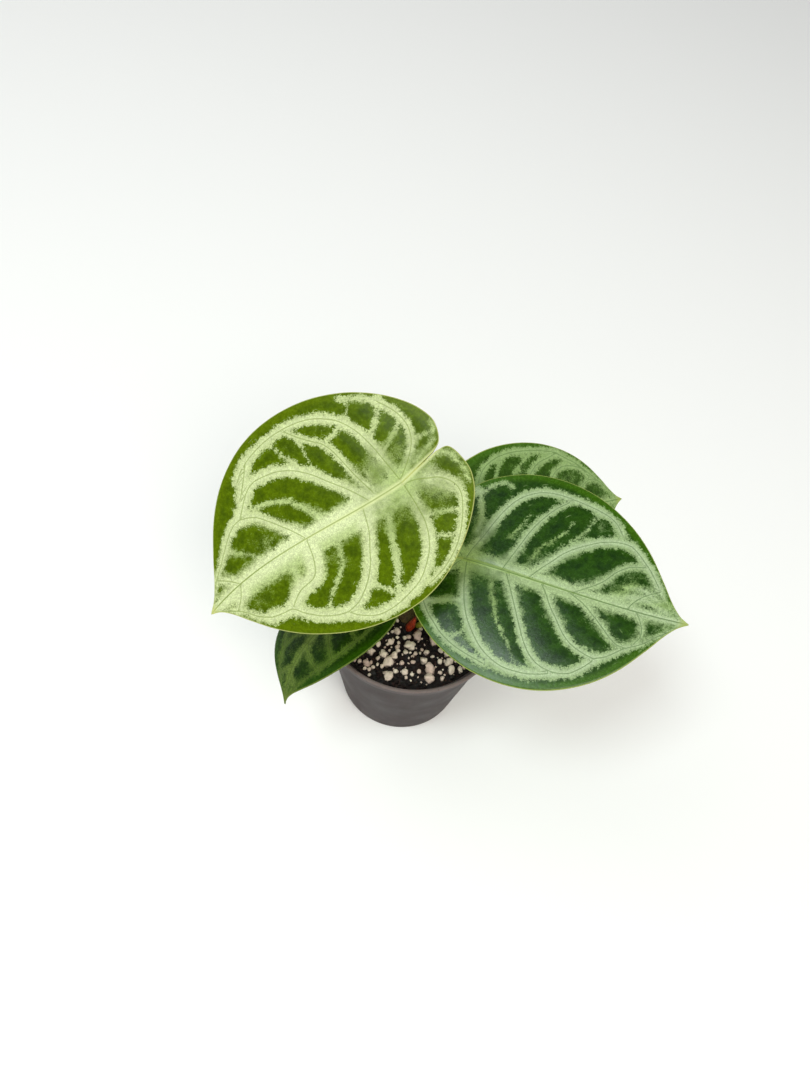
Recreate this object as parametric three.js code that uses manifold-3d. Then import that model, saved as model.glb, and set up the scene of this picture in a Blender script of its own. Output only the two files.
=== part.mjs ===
// A young silver blush anthurium in a small nursery pot.
// Millimetres, +Z up. The origin is the middle of the pot's base, where the pot stands.
// -Y is the front, +X the right-hand side seen from the front.

import * as THREE from 'three';
import { mergeVertices } from 'three/addons/utils/BufferGeometryUtils.js';
import Module from 'manifold-3d';

const wasm = await Module();
wasm.setup();

// Clearance between pieces that touch
const FIT_GAP = 0.3;

// Pot: a thin moulded cup, 85 mm across the rim
const RIM_RADIUS = 42.5;
const POT_HEIGHT = 74;
const BASE_RADIUS = 29.6;
const WALL = 1.2;
const WALL_SLOPE = Math.tan(THREE.MathUtils.degToRad(8.5));
const BAND_HEIGHT = 6.4;
const BAND_STEP = 1.5;
const LIP_WIDTH = 1.5;
const FLOOR_THICKNESS = 1.6;
const FOOT_ROUND = 1.4;
const DRAIN_HOLES = 6;
const DRAIN_RADIUS = 3;
const DRAIN_CIRCLE = 21;
const POT_SEGMENTS = 48;

// Soil: a dark bark and peat mix with white perlite in its surface
const SOIL_LEVEL = 67;
const SOIL_MOUND = 1.6;
const SOIL_ROUGHNESS = 0.5;
const SOIL_RINGS = 5;
const SOIL_SIDES = 28;
const PERLITE_COUNT = 46;
const PERLITE_SMALL = 1.5;
const PERLITE_LARGE = 3.2;
const PERLITE_FLATNESS = 0.8;
const PERLITE_LIFT = 0.2;
const STEM_HOLE = 8.9;

// Crown: the short stem that everything grows from
const CROWN = new THREE.Vector3(-1, -3, 0);
const CROWN_RADIUS = 4.8;
const CROWN_BOTTOM = 44;
const CROWN_TOP = 71.5;

// Leaf stalks
const STALK_RADIUS = 1.35;
const STALK_BASE = 1.9;
const KNEE_RADIUS = 1.75;
const KNEE_LENGTH = 9;
const BASE_TAPER = 0.3;
const STALK_SIDES = 8;
const STALK_STEPS = 14;

// Leaf blades
const BLADE_THICKNESS = 0.8;
const MARGIN_THICKNESS = 0.62;
const QUILT_HEIGHT = 0.8;
const RIB_DEPTH = 0.6;
const MIDRIB_DEPTH = 1.1;
const MIDRIB_GROOVE = 0.25;
const MIDRIB_FADE = 0.7;
const VEIN_BOW = 0.13;
const RIBS_PER_SIDE = 6;
const ROWS_PER_RIB = 4;
const ACROSS = [0, 0.05, 0.25, 0.5, 0.75, 0.93, 1];

// Half of a blade's outline for a blade of length 1, from the back end of one lobe round to the tip.
// The stalk meets the blade at 0, 0 and the midrib runs along +X.
const HALF_OUTLINE = [
  [-0.175, 0.008], [-0.232, 0.034], [-0.264, 0.085], [-0.270, 0.145], [-0.237, 0.230],
  [-0.156, 0.325], [-0.038, 0.411], [0.090, 0.466], [0.220, 0.487], [0.350, 0.482],
  [0.470, 0.455], [0.580, 0.408], [0.680, 0.345], [0.770, 0.263], [0.850, 0.163],
  [0.910, 0.079], [0.955, 0.029], [1.000, 0.000],
];
// The outline point opposite which the veins start to leave the midrib instead of the stalk
const FIRST_MIDRIB_VEIN = 0.51;
// Up to this outline point the veins straighten towards the slot between the lobes
const FIRST_BOWED_VEIN = 0.12;
// A skew of 1 moves the widest part forward by this much, and a sway of 1 bends the midrib by 1
const SKEW_GAIN = 1.6;
const SWAY_GAIN = 27 / 4;

// Each leaf: where its stalk meets it, how it is turned (degrees), its length, how its midrib bends,
// sways and twists, and for its left and right half the width, forward skew, cup and lobe length.
const LEAVES = [
  {
    name: 'front_left', at: [-12.2, 7.8, 150], yaw: 212.7, pitch: 29.7, roll: -20.6, length: 94,
    bend: 0.057, sway: -0.04, twist: 0.011, sinus: -0.021, colour: '#6f9420',
    left: { width: 0.935, skew: 0.062, fold: -0.004, cup: -0.037, lobe: 1 },
    right: { width: 1.072, skew: 0.051, fold: -0.003, cup: -0.033, lobe: 0.92 },
    root: [-1.4, 2.4], lean: [-1, 4, 34], knee: [0.6, 13],
  },
  {
    name: 'right', at: [16.3, -0.8, 118], yaw: -13.9, pitch: -8.7, roll: 15.4, length: 90,
    bend: 0.052, sway: -0.016, twist: -0.002, sinus: -0.056, colour: '#4c7a35',
    left: { width: 1.021, skew: 0.091, fold: 0.008, cup: -0.02, lobe: 0.87 },
    right: { width: 0.981, skew: 0.067, fold: 0.001, cup: -0.051, lobe: 0.86 },
    root: [3.2, -0.2], lean: [3, 0, 22], knee: [0.6, 13],
  },
  {
    name: 'back_right', at: [26.8, 26.1, 104], yaw: 26.9, pitch: 4.5, roll: 35.3, length: 73,
    bend: 0.082, sway: 0.005, twist: 0.008, sinus: 0.046, colour: '#487435',
    left: { width: 0.953, skew: -0.074, fold: 0.003, cup: -0.053, lobe: 1.03 },
    right: { width: 1, skew: 0, fold: 0, cup: -0.05, lobe: 1 },
    root: [2.4, 2.6], lean: [6, 8, 17], knee: [0.5, 10],
  },
  {
    name: 'left', at: [-24, -7.5, 92], yaw: 238.7, pitch: 13.6, roll: 29.7, length: 56.3,
    bend: 0.171, sway: -0.113, twist: 0.023, sinus: -0.104, colour: '#3c6a2c',
    left: { width: 0.997, skew: -0.053, fold: 0.002, cup: -0.169, lobe: 0.92 },
    right: { width: 0.96, skew: -0.059, fold: -0.015, cup: -0.14, lobe: 1 },
    root: [-3.2, -2], lean: [-7, -1, 9], knee: [0.3, 7],
  },
];

// New growth at the foot of the stalks: points relative to the crown, with the radius at each
const SHOOTS = [
  {
    name: 'new_leaf_bud', colour: '#a8352a',
    path: [
      [0.4, -5.4, 60, 1.3], [0.8, -6, 66, 1.8], [1.4, -6.6, 71, 1.9],
      [2.2, -7, 76, 1.3], [2.8, -7, 81, 0.3],
    ],
  },
  {
    name: 'green_sheath', colour: '#7c8b2e',
    path: [
      [4.2, -3.9, 60, 1.1], [4.5, -4.3, 66, 1.4], [5.4, -5.3, 71, 1.5],
      [6.6, -6.6, 75, 0.9], [7.5, -7.6, 78, 0.3],
    ],
  },
  {
    name: 'dry_sheath', colour: '#8a6a4a',
    path: [[-5, 2.8, 60, 1.1], [-5.5, 3.2, 65, 1.4], [-6.2, 4, 70, 1.2], [-7.2, 5.2, 75, 0.4]],
  },
];

const model = new THREE.Group();

// Adds one named solid of plain material
function addPiece(name, geometry, material) {
  const mesh = new THREE.Mesh(geometry, new THREE.MeshStandardMaterial(material));
  mesh.name = name;
  model.add(mesh);
  return mesh;
}

// Random numbers from 0 to 1 that are the same every time
function seededRandom(seed) {
  let state = seed;
  return () => {
    state = (state + 0x6d2b79f5) | 0;
    let t = Math.imul(state ^ (state >>> 15), 1 | state);
    t = (t + Math.imul(t ^ (t >>> 7), 61 | t)) ^ t;
    return ((t ^ (t >>> 14)) >>> 0) / 4294967296;
  };
}

// Closed mesh with its shared vertices merged, and triangles that have shrunk to a line dropped
function weld(geometry) {
  const bare = new THREE.BufferGeometry();
  bare.setAttribute('position', geometry.getAttribute('position').clone());
  if (geometry.index) bare.setIndex(geometry.index.clone());
  const merged = mergeVertices(bare, 1e-4);
  const corners = merged.index.array;
  const kept = [];
  for (let i = 0; i < corners.length; i += 3) {
    const [a, b, c] = corners.slice(i, i + 3);
    if (a !== b && b !== c && c !== a) kept.push(a, b, c);
  }
  merged.setIndex(kept);
  return merged;
}

function toSolid(geometry) {
  const merged = weld(geometry);
  return new wasm.Manifold(new wasm.Mesh({
    numProp: 3,
    vertProperties: new Float32Array(merged.getAttribute('position').array),
    triVerts: new Uint32Array(merged.index.array),
  }));
}

function fromSolid(solid) {
  const mesh = solid.getMesh();
  const geometry = new THREE.BufferGeometry();
  const positions = new Float32Array(mesh.vertProperties);
  geometry.setAttribute('position', new THREE.BufferAttribute(positions, 3));
  geometry.setIndex(new THREE.BufferAttribute(new Uint32Array(mesh.triVerts), 1));
  geometry.computeVertexNormals();
  return geometry;
}

// Solid of revolution about Z from a closed profile of [radius, height] pairs
function turned(profile, segments) {
  const points = profile.map(([r, z]) => new THREE.Vector2(r, z));
  return new THREE.LatheGeometry(points, segments).rotateX(Math.PI / 2);
}

// Round bar of changing radius along a curve, closed at both ends.
// radiusAt takes the distance along the curve from 0 to 1.
function bar(curve, steps, sides, radiusAt) {
  const frames = curve.computeFrenetFrames(steps, false);
  const positions = [];
  const index = [];
  for (let i = 0; i <= steps; i += 1) {
    const centre = curve.getPointAt(i / steps);
    const radius = radiusAt(i / steps);
    for (let k = 0; k < sides; k += 1) {
      const angle = (2 * Math.PI * k) / sides;
      const point = centre.clone()
        .addScaledVector(frames.normals[i], radius * Math.cos(angle))
        .addScaledVector(frames.binormals[i], radius * Math.sin(angle));
      positions.push(point.x, point.y, point.z);
    }
  }
  for (let i = 0; i < steps; i += 1) {
    for (let k = 0; k < sides; k += 1) {
      const a = i * sides + k;
      const b = i * sides + ((k + 1) % sides);
      index.push(a, b, b + sides, a, b + sides, a + sides);
    }
  }
  for (const [ring, flip] of [[0, true], [steps, false]]) {
    for (let k = 1; k < sides - 1; k += 1) {
      const fan = [ring * sides, ring * sides + k, ring * sides + k + 1];
      index.push(...(flip ? fan.reverse() : fan));
    }
  }
  const geometry = new THREE.BufferGeometry();
  geometry.setAttribute('position', new THREE.Float32BufferAttribute(positions, 3));
  geometry.setIndex(index);
  return geometry;
}

// Pot

function wallRadius(height) {
  return BASE_RADIUS + height * WALL_SLOPE;
}

function potSolid() {
  const bandBottom = POT_HEIGHT - BAND_HEIGHT;
  const innerFloor = wallRadius(FLOOR_THICKNESS) - WALL;
  const profile = [
    [0, 0],
    [BASE_RADIUS - FOOT_ROUND, 0],
    [BASE_RADIUS, FOOT_ROUND],
    [wallRadius(bandBottom), bandBottom],
    [wallRadius(bandBottom) + BAND_STEP, bandBottom + 0.4],
    [RIM_RADIUS - 0.5, POT_HEIGHT - 1.4],
    [RIM_RADIUS, POT_HEIGHT - 0.9],
    [RIM_RADIUS - 0.3, POT_HEIGHT],
    [RIM_RADIUS - LIP_WIDTH, POT_HEIGHT],
    [wallRadius(bandBottom) + BAND_STEP - WALL, bandBottom + 1.6],
    [wallRadius(bandBottom) - WALL, bandBottom + 0.9],
    [innerFloor, FLOOR_THICKNESS],
    [0, FLOOR_THICKNESS],
  ];
  let pot = toSolid(turned(profile, POT_SEGMENTS));
  for (let i = 0; i < DRAIN_HOLES; i += 1) {
    const angle = (2 * Math.PI * i) / DRAIN_HOLES;
    const drill = new THREE.CylinderGeometry(DRAIN_RADIUS, DRAIN_RADIUS, 4 * FLOOR_THICKNESS, 12)
      .rotateX(Math.PI / 2)
      .translate(DRAIN_CIRCLE * Math.cos(angle), DRAIN_CIRCLE * Math.sin(angle), FLOOR_THICKNESS / 2);
    pot = pot.subtract(toSolid(drill));
  }
  return pot;
}

addPiece('pot', fromSolid(potSolid()), { color: '#5a5255', roughness: 0.5, metalness: 0 });

// Soil

function soilHeight(x, y) {
  const r = Math.hypot(x, y) / wallRadius(SOIL_LEVEL);
  const lumps = Math.sin(x * 0.31 + 1.3) * Math.cos(y * 0.27) + 0.6 * Math.sin(x * 0.83 - y * 0.61);
  return SOIL_LEVEL + SOIL_MOUND * (1 - r * r) + SOIL_ROUGHNESS * lumps * (1 - r ** 4);
}

function soilRadius(height) {
  return wallRadius(height) - WALL - 1.5 * FIT_GAP;
}

// The soil without its perlite. Every point of the profile above the edge is lifted to the mound.
function soilPlug() {
  const bottom = FLOOR_THICKNESS + FIT_GAP;
  const top = SOIL_LEVEL;
  const profile = [[0, bottom], [soilRadius(bottom) - FIT_GAP, bottom], [soilRadius(top), top]];
  for (let ring = SOIL_RINGS - 1; ring >= 0; ring -= 1) {
    profile.push([(soilRadius(top) * ring) / SOIL_RINGS, top + 1]);
  }
  const geometry = turned(profile, SOIL_SIDES);
  const position = geometry.getAttribute('position');
  for (let i = 0; i < position.count; i += 1) {
    if (position.getZ(i) > top + 0.5) {
      position.setZ(i, soilHeight(position.getX(i), position.getY(i)));
    }
  }
  return toSolid(geometry);
}

// One perlite lump: a squashed and dented icosahedron, sunk about a third into the soil, clear of
// the wall and of the stem's hole
function perliteLump(random) {
  const size = PERLITE_SMALL + (PERLITE_LARGE - PERLITE_SMALL) * random() ** 1.4;
  let x;
  let y;
  do {
    const angle = 2 * Math.PI * random();
    const distance = (soilRadius(SOIL_LEVEL) - size - 0.5) * Math.sqrt(random());
    x = distance * Math.cos(angle);
    y = distance * Math.sin(angle);
  } while (Math.hypot(x - CROWN.x, y - CROWN.y) < STEM_HOLE + size + 0.5);
  const lump = weld(new THREE.IcosahedronGeometry(size, 0));
  const position = lump.getAttribute('position');
  for (let i = 0; i < position.count; i += 1) {
    const dent = 0.8 + 0.35 * random();
    position.setXYZ(i, position.getX(i) * dent, position.getY(i) * dent, position.getZ(i) * dent);
  }
  lump.scale(1, 1, PERLITE_FLATNESS);
  lump.rotateZ(2 * Math.PI * random());
  lump.translate(x, y, soilHeight(x, y) + size * PERLITE_LIFT);
  return toSolid(lump);
}

function soilSolid() {
  const random = seededRandom(11);
  const lumps = Array.from({ length: PERLITE_COUNT }, () => perliteLump(random));
  const holeLength = 2 * (CROWN_TOP - CROWN_BOTTOM);
  const hole = new THREE.CylinderGeometry(STEM_HOLE, STEM_HOLE, holeLength, 20)
    .rotateX(Math.PI / 2)
    .translate(CROWN.x, CROWN.y, CROWN_BOTTOM - FIT_GAP + holeLength / 2);
  return wasm.Manifold.union([soilPlug(), ...lumps]).subtract(toSolid(hole));
}

addPiece('soil', fromSolid(soilSolid()), { color: '#2a1f1b', roughness: 0.95, metalness: 0 });

// Crown

function crownGeometry(grow) {
  const r = CROWN_RADIUS + grow;
  const bottom = CROWN_BOTTOM - grow;
  const top = CROWN_TOP + grow;
  const profile = [
    [0, bottom], [r * 0.6, bottom], [r * 0.85, bottom + 4], [r, bottom + 14],
    [r, top - 4], [r * 0.8, top - 1.2], [r * 0.4, top - 0.2], [0, top],
  ];
  return turned(profile, 18).translate(CROWN.x, CROWN.y, 0);
}

addPiece('crown', weld(crownGeometry(0)), { color: '#6b6a35', roughness: 0.7, metalness: 0 });
const crownKeepOut = toSolid(crownGeometry(FIT_GAP));

// Leaf blades

const outlineCurve = new THREE.CatmullRomCurve3(
  HALF_OUTLINE.map(([x, y]) => new THREE.Vector3(x, y, 0)),
  false,
  'catmullrom',
);

// Where on the midrib a vein starts that ends at this part of the outline
function midribStart(t) {
  return Math.max(0, (t - FIRST_MIDRIB_VEIN) / (1 - FIRST_MIDRIB_VEIN)) ** 1.1;
}

// A point of one half of a flat blade of length 1. The vein numbered row runs from the midrib to
// the margin, and across goes from 0 on the midrib to 1 on the margin.
function flatPoint(row, rows, across) {
  const end = outlineCurve.getPoint(row / rows);
  const start = new THREE.Vector3(midribStart(row / rows), 0, 0);
  const run = end.clone().sub(start);
  const middle = start.clone().addScaledVector(run, 0.5);
  const bow = VEIN_BOW * Math.min(1, row / rows / FIRST_BOWED_VEIN);
  middle.x -= bow * run.y;
  middle.y += bow * run.x;
  return new THREE.QuadraticBezierCurve3(start, middle, end).getPoint(across);
}

// The same point on the real blade, in millimetres, with its bend, cup and fold
function bladePoint(leaf, side, row, rows, across) {
  const half = side > 0 ? leaf.left : leaf.right;
  const flat = flatPoint(row, rows, across);
  let x = flat.x + SKEW_GAIN * half.skew * flat.y * (1 - flat.x);
  if (x < 0) x *= half.lobe;
  const reach = flat.y * half.width;
  const y = side * reach + leaf.sinus * Math.max(0, -x);
  const ahead = Math.max(0, x);
  const z = -leaf.bend * ahead ** 2
    + half.fold * (Math.hypot(reach, 0.02) - 0.02)
    + half.cup * reach ** 2
    + leaf.twist * x * y;
  const shortened = x - (2 / 3) * leaf.bend ** 2 * ahead ** 3;
  const inside = Math.min(1, ahead);
  const swayed = y + leaf.sway * SWAY_GAIN * inside ** 2 * (1 - inside);
  return new THREE.Vector3(shortened, swayed, z).multiplyScalar(leaf.length);
}

// Height of the upper and the lower face over the blade's middle surface. The blade swells between
// its ribs, and the ribs and the midrib stand out beneath. The midrib fades towards the tip.
function bladeFaces(row, rows, across) {
  const between = Math.sin((Math.PI * row) / ROWS_PER_RIB) ** 2;
  const swell = QUILT_HEIGHT * between * Math.sin(Math.PI * across);
  const thickness = THREE.MathUtils.lerp(BLADE_THICKNESS, MARGIN_THICKNESS, across ** 4);
  if (across === 0) {
    const midrib = MIDRIB_DEPTH * (1 - MIDRIB_FADE * midribStart(row / rows));
    return { up: -MIDRIB_GROOVE, down: -thickness - midrib };
  }
  const rib = RIB_DEPTH * (1 - between) * (1 - across);
  return { up: swell, down: swell - thickness - rib };
}

// Both halves of the blade, with the same triangles on the upper and the lower face, and the strip
// that closes the margin and the slot between the lobes
function bladeGeometry(leaf) {
  const rows = RIBS_PER_SIDE * ROWS_PER_RIB;
  const last = ACROSS.length - 1;
  const positions = [];
  const index = [];
  for (const side of [1, -1]) {
    const vertex = { up: [], down: [] };
    for (let row = 0; row <= rows; row += 1) {
      ACROSS.forEach((across) => {
        const faces = bladeFaces(row, rows, row === rows ? 1 : across);
        for (const face of ['up', 'down']) {
          const point = bladePoint(leaf, side, row, rows, across);
          vertex[face].push(positions.length / 3);
          positions.push(point.x, point.y, point.z + faces[face]);
        }
      });
    }
    const up = (row, k) => vertex.up[row * ACROSS.length + k];
    const down = (row, k) => vertex.down[row * ACROSS.length + k];
    const quad = (a, b, c, d) => {
      index.push(...(side > 0 ? [a, b, c, a, c, d] : [c, b, a, d, c, a]));
    };
    for (let row = 0; row < rows; row += 1) {
      const next = row + 1;
      for (let k = 0; k < last; k += 1) {
        quad(up(row, k), up(next, k), up(next, k + 1), up(row, k + 1));
        quad(down(row, k + 1), down(next, k + 1), down(next, k), down(row, k));
      }
      quad(up(row, last), up(next, last), down(next, last), down(row, last));
    }
    for (let k = 0; k < last; k += 1) {
      quad(up(0, k), up(0, k + 1), down(0, k + 1), down(0, k));
    }
  }
  const geometry = new THREE.BufferGeometry();
  geometry.setAttribute('position', new THREE.Float32BufferAttribute(positions, 3));
  geometry.setIndex(index);
  return weld(geometry);
}

for (const leaf of LEAVES) {
  const blade = addPiece(`blade_${leaf.name}`, bladeGeometry(leaf), {
    color: leaf.colour, roughness: 0.45, metalness: 0,
  });
  blade.position.set(...leaf.at);
  const [yaw, pitch, roll] = [leaf.yaw, leaf.pitch, leaf.roll].map(THREE.MathUtils.degToRad);
  blade.rotation.set(roll, pitch, yaw, 'ZYX');
  blade.updateMatrixWorld();
  leaf.toWorld = (point) => blade.localToWorld(point);
}

// Leaf stalks: each one leaves the crown, arches out and up, and ends in a thicker knee that meets
// the blade from below

for (const leaf of LEAVES) {
  const foot = new THREE.Vector3(CROWN.x + leaf.root[0], CROWN.y + leaf.root[1], CROWN_TOP - 6);
  const end = leaf.toWorld(new THREE.Vector3(0, 0, -BLADE_THICKNESS - MIDRIB_DEPTH - 1.5 * FIT_GAP));
  const below = leaf.toWorld(new THREE.Vector3(leaf.knee[0], 0, -leaf.knee[1]));
  const start = foot.clone().add(new THREE.Vector3(...leaf.lean));
  const curve = new THREE.CubicBezierCurve3(foot, start, below, end);
  const knee = KNEE_LENGTH / curve.getLength();
  const radiusAt = (t) => {
    const atFoot = Math.max(0, 1 - t / BASE_TAPER) ** 2;
    const atKnee = THREE.MathUtils.smoothstep(t, 1 - 1.4 * knee, 1 - knee);
    return STALK_RADIUS + (STALK_BASE - STALK_RADIUS) * atFoot + (KNEE_RADIUS - STALK_RADIUS) * atKnee;
  };
  const stalk = toSolid(bar(curve, STALK_STEPS, STALK_SIDES, radiusAt)).subtract(crownKeepOut);
  addPiece(`stalk_${leaf.name}`, fromSolid(stalk), { color: '#8a9a45', roughness: 0.5, metalness: 0 });
}

// New growth

for (const shoot of SHOOTS) {
  const curve = new THREE.CatmullRomCurve3(
    shoot.path.map(([x, y, z]) => new THREE.Vector3(CROWN.x + x, CROWN.y + y, z)),
  );
  const radii = new THREE.CatmullRomCurve3(
    shoot.path.map(([, , , r], i) => new THREE.Vector3(i / (shoot.path.length - 1), r, 0)),
  );
  const growth = toSolid(bar(curve, 10, 8, (t) => radii.getPoint(t).y)).subtract(crownKeepOut);
  addPiece(shoot.name, fromSolid(growth), { color: shoot.colour, roughness: 0.5, metalness: 0 });
}

export default model;
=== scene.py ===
import math
from functools import partial

import bpy
import numpy as np
from mathutils import Euler, Matrix, Vector, noise


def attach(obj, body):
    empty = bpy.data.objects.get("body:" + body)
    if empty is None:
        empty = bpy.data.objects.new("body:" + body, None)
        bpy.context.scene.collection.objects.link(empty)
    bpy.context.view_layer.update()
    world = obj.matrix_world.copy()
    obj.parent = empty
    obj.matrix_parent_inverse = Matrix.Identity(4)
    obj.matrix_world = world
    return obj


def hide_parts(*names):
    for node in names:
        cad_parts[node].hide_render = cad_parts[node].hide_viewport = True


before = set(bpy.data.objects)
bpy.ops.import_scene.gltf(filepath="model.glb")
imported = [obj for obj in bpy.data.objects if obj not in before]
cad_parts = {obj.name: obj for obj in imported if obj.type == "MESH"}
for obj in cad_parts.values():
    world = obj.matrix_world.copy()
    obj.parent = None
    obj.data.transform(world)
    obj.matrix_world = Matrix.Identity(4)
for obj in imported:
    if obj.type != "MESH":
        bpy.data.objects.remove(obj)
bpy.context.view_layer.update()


# Camera
# The photograph looks down on the plant from the front, at 56 degrees and slightly rolled.

MM = 0.001
CAMERA_PLACE = (-7.8 * MM, -186.1 * MM, 399.9 * MM)
CAMERA_ELEVATION = math.radians(56.06)
CAMERA_ROLL = math.radians(8.76)
LENS = 28
FILM_HEIGHT = 36


def in_scene(name, data):
    """A new object that holds this mesh, curve, lamp or camera."""
    made = bpy.data.objects.new(name, data)
    bpy.context.scene.collection.objects.link(made)
    return made


camera = in_scene("camera", bpy.data.cameras.new("camera"))
camera.data.lens = LENS
camera.data.sensor_width = FILM_HEIGHT
camera.data.clip_start = 10 * MM
camera.matrix_world = (
    Matrix.Translation(CAMERA_PLACE)
    @ Matrix.Rotation(math.pi / 2 - CAMERA_ELEVATION, 4, "X")
    @ Matrix.Rotation(CAMERA_ROLL, 4, "Z")
)
bpy.context.scene.camera = camera
bpy.context.scene.view_settings.view_transform = "Standard"


# Pot
# A thin nursery pot of mauve-grey polypropylene, injection moulded in one piece: a tapered wall,
# a wider band under a rounded lip, and six drain holes in the base. All sizes in millimetres.

RIM_RADIUS = 42.5
POT_HEIGHT = 74
BASE_RADIUS = 29.6
WALL = 1.2
WALL_SLOPE = math.tan(math.radians(8.5))
BAND_HEIGHT = 6.4
BAND_STEP = 1.5
BAND_SLOPE = 0.4
INNER_STEP_BOTTOM = 0.9
INNER_STEP_TOP = 1.6
LIP_WIDTH = 1.5
LIP_HEIGHT = 1.4
LIP_BULGE = 0.5
LIP_MIDDLE = 0.9
LIP_ROUND = 0.3
FLOOR_THICKNESS = 1.6
FOOT_ROUND = 1.4
DRAIN_HOLES = 6
DRAIN_RADIUS = 3
DRAIN_CIRCLE = 21
DRAIN_SIDES = 24
DRILL_DEPTH = 9.6
POT_SEGMENTS = 180
CORNER_RADIUS = 0.5
CORNER_STEPS = 4


def wall_radius(height):
    """The pot's outer radius at this height, below the band."""
    return BASE_RADIUS + height * WALL_SLOPE


def rounded(profile, radius):
    """The profile with each of its corners turned into a small arc."""
    points = [np.array(point, float) for point in profile]
    result = [points[0]]
    for before, corner, after in zip(points, points[1:], points[2:]):
        back, ahead = before - corner, after - corner
        cut = min(radius, 0.45 * np.hypot(*back), 0.45 * np.hypot(*ahead))
        start = corner + back / np.hypot(*back) * cut
        end = corner + ahead / np.hypot(*ahead) * cut
        for t in np.linspace(0, 1, CORNER_STEPS):
            result.append((1 - t) ** 2 * start + 2 * t * (1 - t) * corner + t**2 * end)
    return result + [points[-1]]


def turned(profile, segments):
    """Points and faces of a profile of (radius, height), turned about Z and closed on the axis."""
    points, faces, rings = [], [], []
    angles = np.linspace(0, 2 * math.pi, segments, endpoint=False)
    for radius, height in profile:
        if radius < 1e-6:
            rings.append([len(points)] * segments)
            points.append((0, 0, height))
        else:
            rings.append(list(range(len(points), len(points) + segments)))
            points += [(radius * math.cos(a), radius * math.sin(a), height) for a in angles]
    for low, high in zip(rings, rings[1:]):
        for k in range(segments):
            after = (k + 1) % segments
            face = [low[k], low[after], high[after], high[k]]
            faces.append(list(dict.fromkeys(face)))
    return points, faces


def add_piece(name, points, faces, *materials):
    """A smooth mesh object made from points in millimetres."""
    mesh = bpy.data.meshes.new(name)
    mesh.from_pydata((np.array(points, float) * MM).tolist(), [], faces)
    for material in materials:
        mesh.materials.append(material)
    mesh.shade_smooth()
    return in_scene(name, mesh)


def linear(colour):
    """A colour written as sRGB hex, such as #8a9a45, in Blender's linear values."""
    parts = [int(colour[i : i + 2], 16) / 255 for i in (1, 3, 5)]
    return [p / 12.92 if p <= 0.04045 else ((p + 0.055) / 1.055) ** 2.4 for p in parts] + [1]


def feed(made, *inputs, **named):
    """Gives a node's sockets, in turn or by name, a value, an sRGB hex or another node's output."""
    live = [socket for socket in made.inputs if socket.enabled]
    by_name = [(made.inputs[name.replace("_", " ")], value) for name, value in named.items()]
    for socket, value in [*zip(live, inputs), *by_name]:
        if isinstance(value, bpy.types.NodeSocket):
            made.id_data.links.new(value, socket)
        else:
            socket.default_value = linear(value) if str(value).startswith("#") else value


def node(tree, kind, *inputs, output=None, **named):
    """Adds a node, fed with the inputs, and returns its first output or the one that is named. A
    name with a capital is a socket's, and any other is one of the node's own settings."""
    families = ("ShaderNode", "GeometryNode", "FunctionNode", "Node")
    made = tree.nodes.new(next(f + kind for f in families if hasattr(bpy.types, f + kind)))
    for name in [name for name in named if name.islower()]:
        setattr(made, name, named.pop(name))
    feed(made, *inputs, **named)
    live = [socket for socket in made.outputs if socket.enabled]
    return made.outputs[output] if output else next(iter(live), None)


def mask(add, *fades):
    """The product of soft fades, each a value, where the fade starts and ends, and what it gives
    before and after, which is 0 and 1 where that is left out."""
    product, *others = (add("MapRange", *fade, interpolation_type="SMOOTHSTEP") for fade in fades)
    for other in others:
        product = add("Math", product, other, operation="MULTIPLY")
    return product


def layered(add, colour, *layers, **blend):
    """The colour under layers of others, each with how much of it shows."""
    for amount, over in layers:
        colour = add("Mix", amount, colour, over, data_type="RGBA", **blend)
    return colour


def new_finish(name):
    """A new material: itself, a function that adds a node to it, and its shader."""
    material = bpy.data.materials.new(name)
    material.use_nodes = True
    tree = material.node_tree
    return material, partial(node, tree), tree.nodes["Principled BSDF"]


def moulded_polypropylene():
    """Satin and slightly milky, with a fine mould grain, faint flow streaks and splashed soil."""
    material, add, shader = new_finish("moulded_polypropylene")
    place = add("TexCoord", output="Object")
    height = add("SeparateXYZ", place, output="Z")
    upright = add("Mapping", Vector=place, Scale=(1, 1, 0.06))
    cloud, grain, splash, streak = (
        add("TexNoise", Vector=space, Scale=1 / (size * MM), Detail=detail)
        for space, size, detail in (
            (place, 14, 4), (place, 0.5, 2), (place, 1.1, 5), (upright, 1.6, 3)
        )
    )
    # Painted light and shade by height: the wall is painted dark as shade, the band paler, and the
    # thin lip, which faces up, palest as painted light
    top = POT_HEIGHT * MM
    colour = layered(
        add, "#2e2626", (cloud, "#3f3534"),
        (mask(add, (height, top - 7.0 * MM, top - 5.2 * MM)), "#4d4241"),
        (mask(add, (height, top - 2.6 * MM, top - 0.4 * MM)), "#6f635f"),
    )
    shade = add("MapRange", streak, 0.3, 0.7, 0.9, 1.06)
    colour = layered(add, colour, (1.0, shade), blend_type="MULTIPLY")
    specks = add("MapRange", splash, 0.66, 0.72, 0, 0.55)
    feed(
        shader, Base_Color=layered(add, colour, (specks, "#3a302c")), IOR=1.49,
        Specular_IOR_Level=0.2, Subsurface_Weight=0.08, Subsurface_Scale=1.0 * MM,
        Roughness=add("MapRange", cloud, 0.3, 0.7, 0.5, 0.65),
        Normal=add("Bump", Strength=0.25, Distance=0.08 * MM, Height=grain),
    )
    return material


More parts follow.
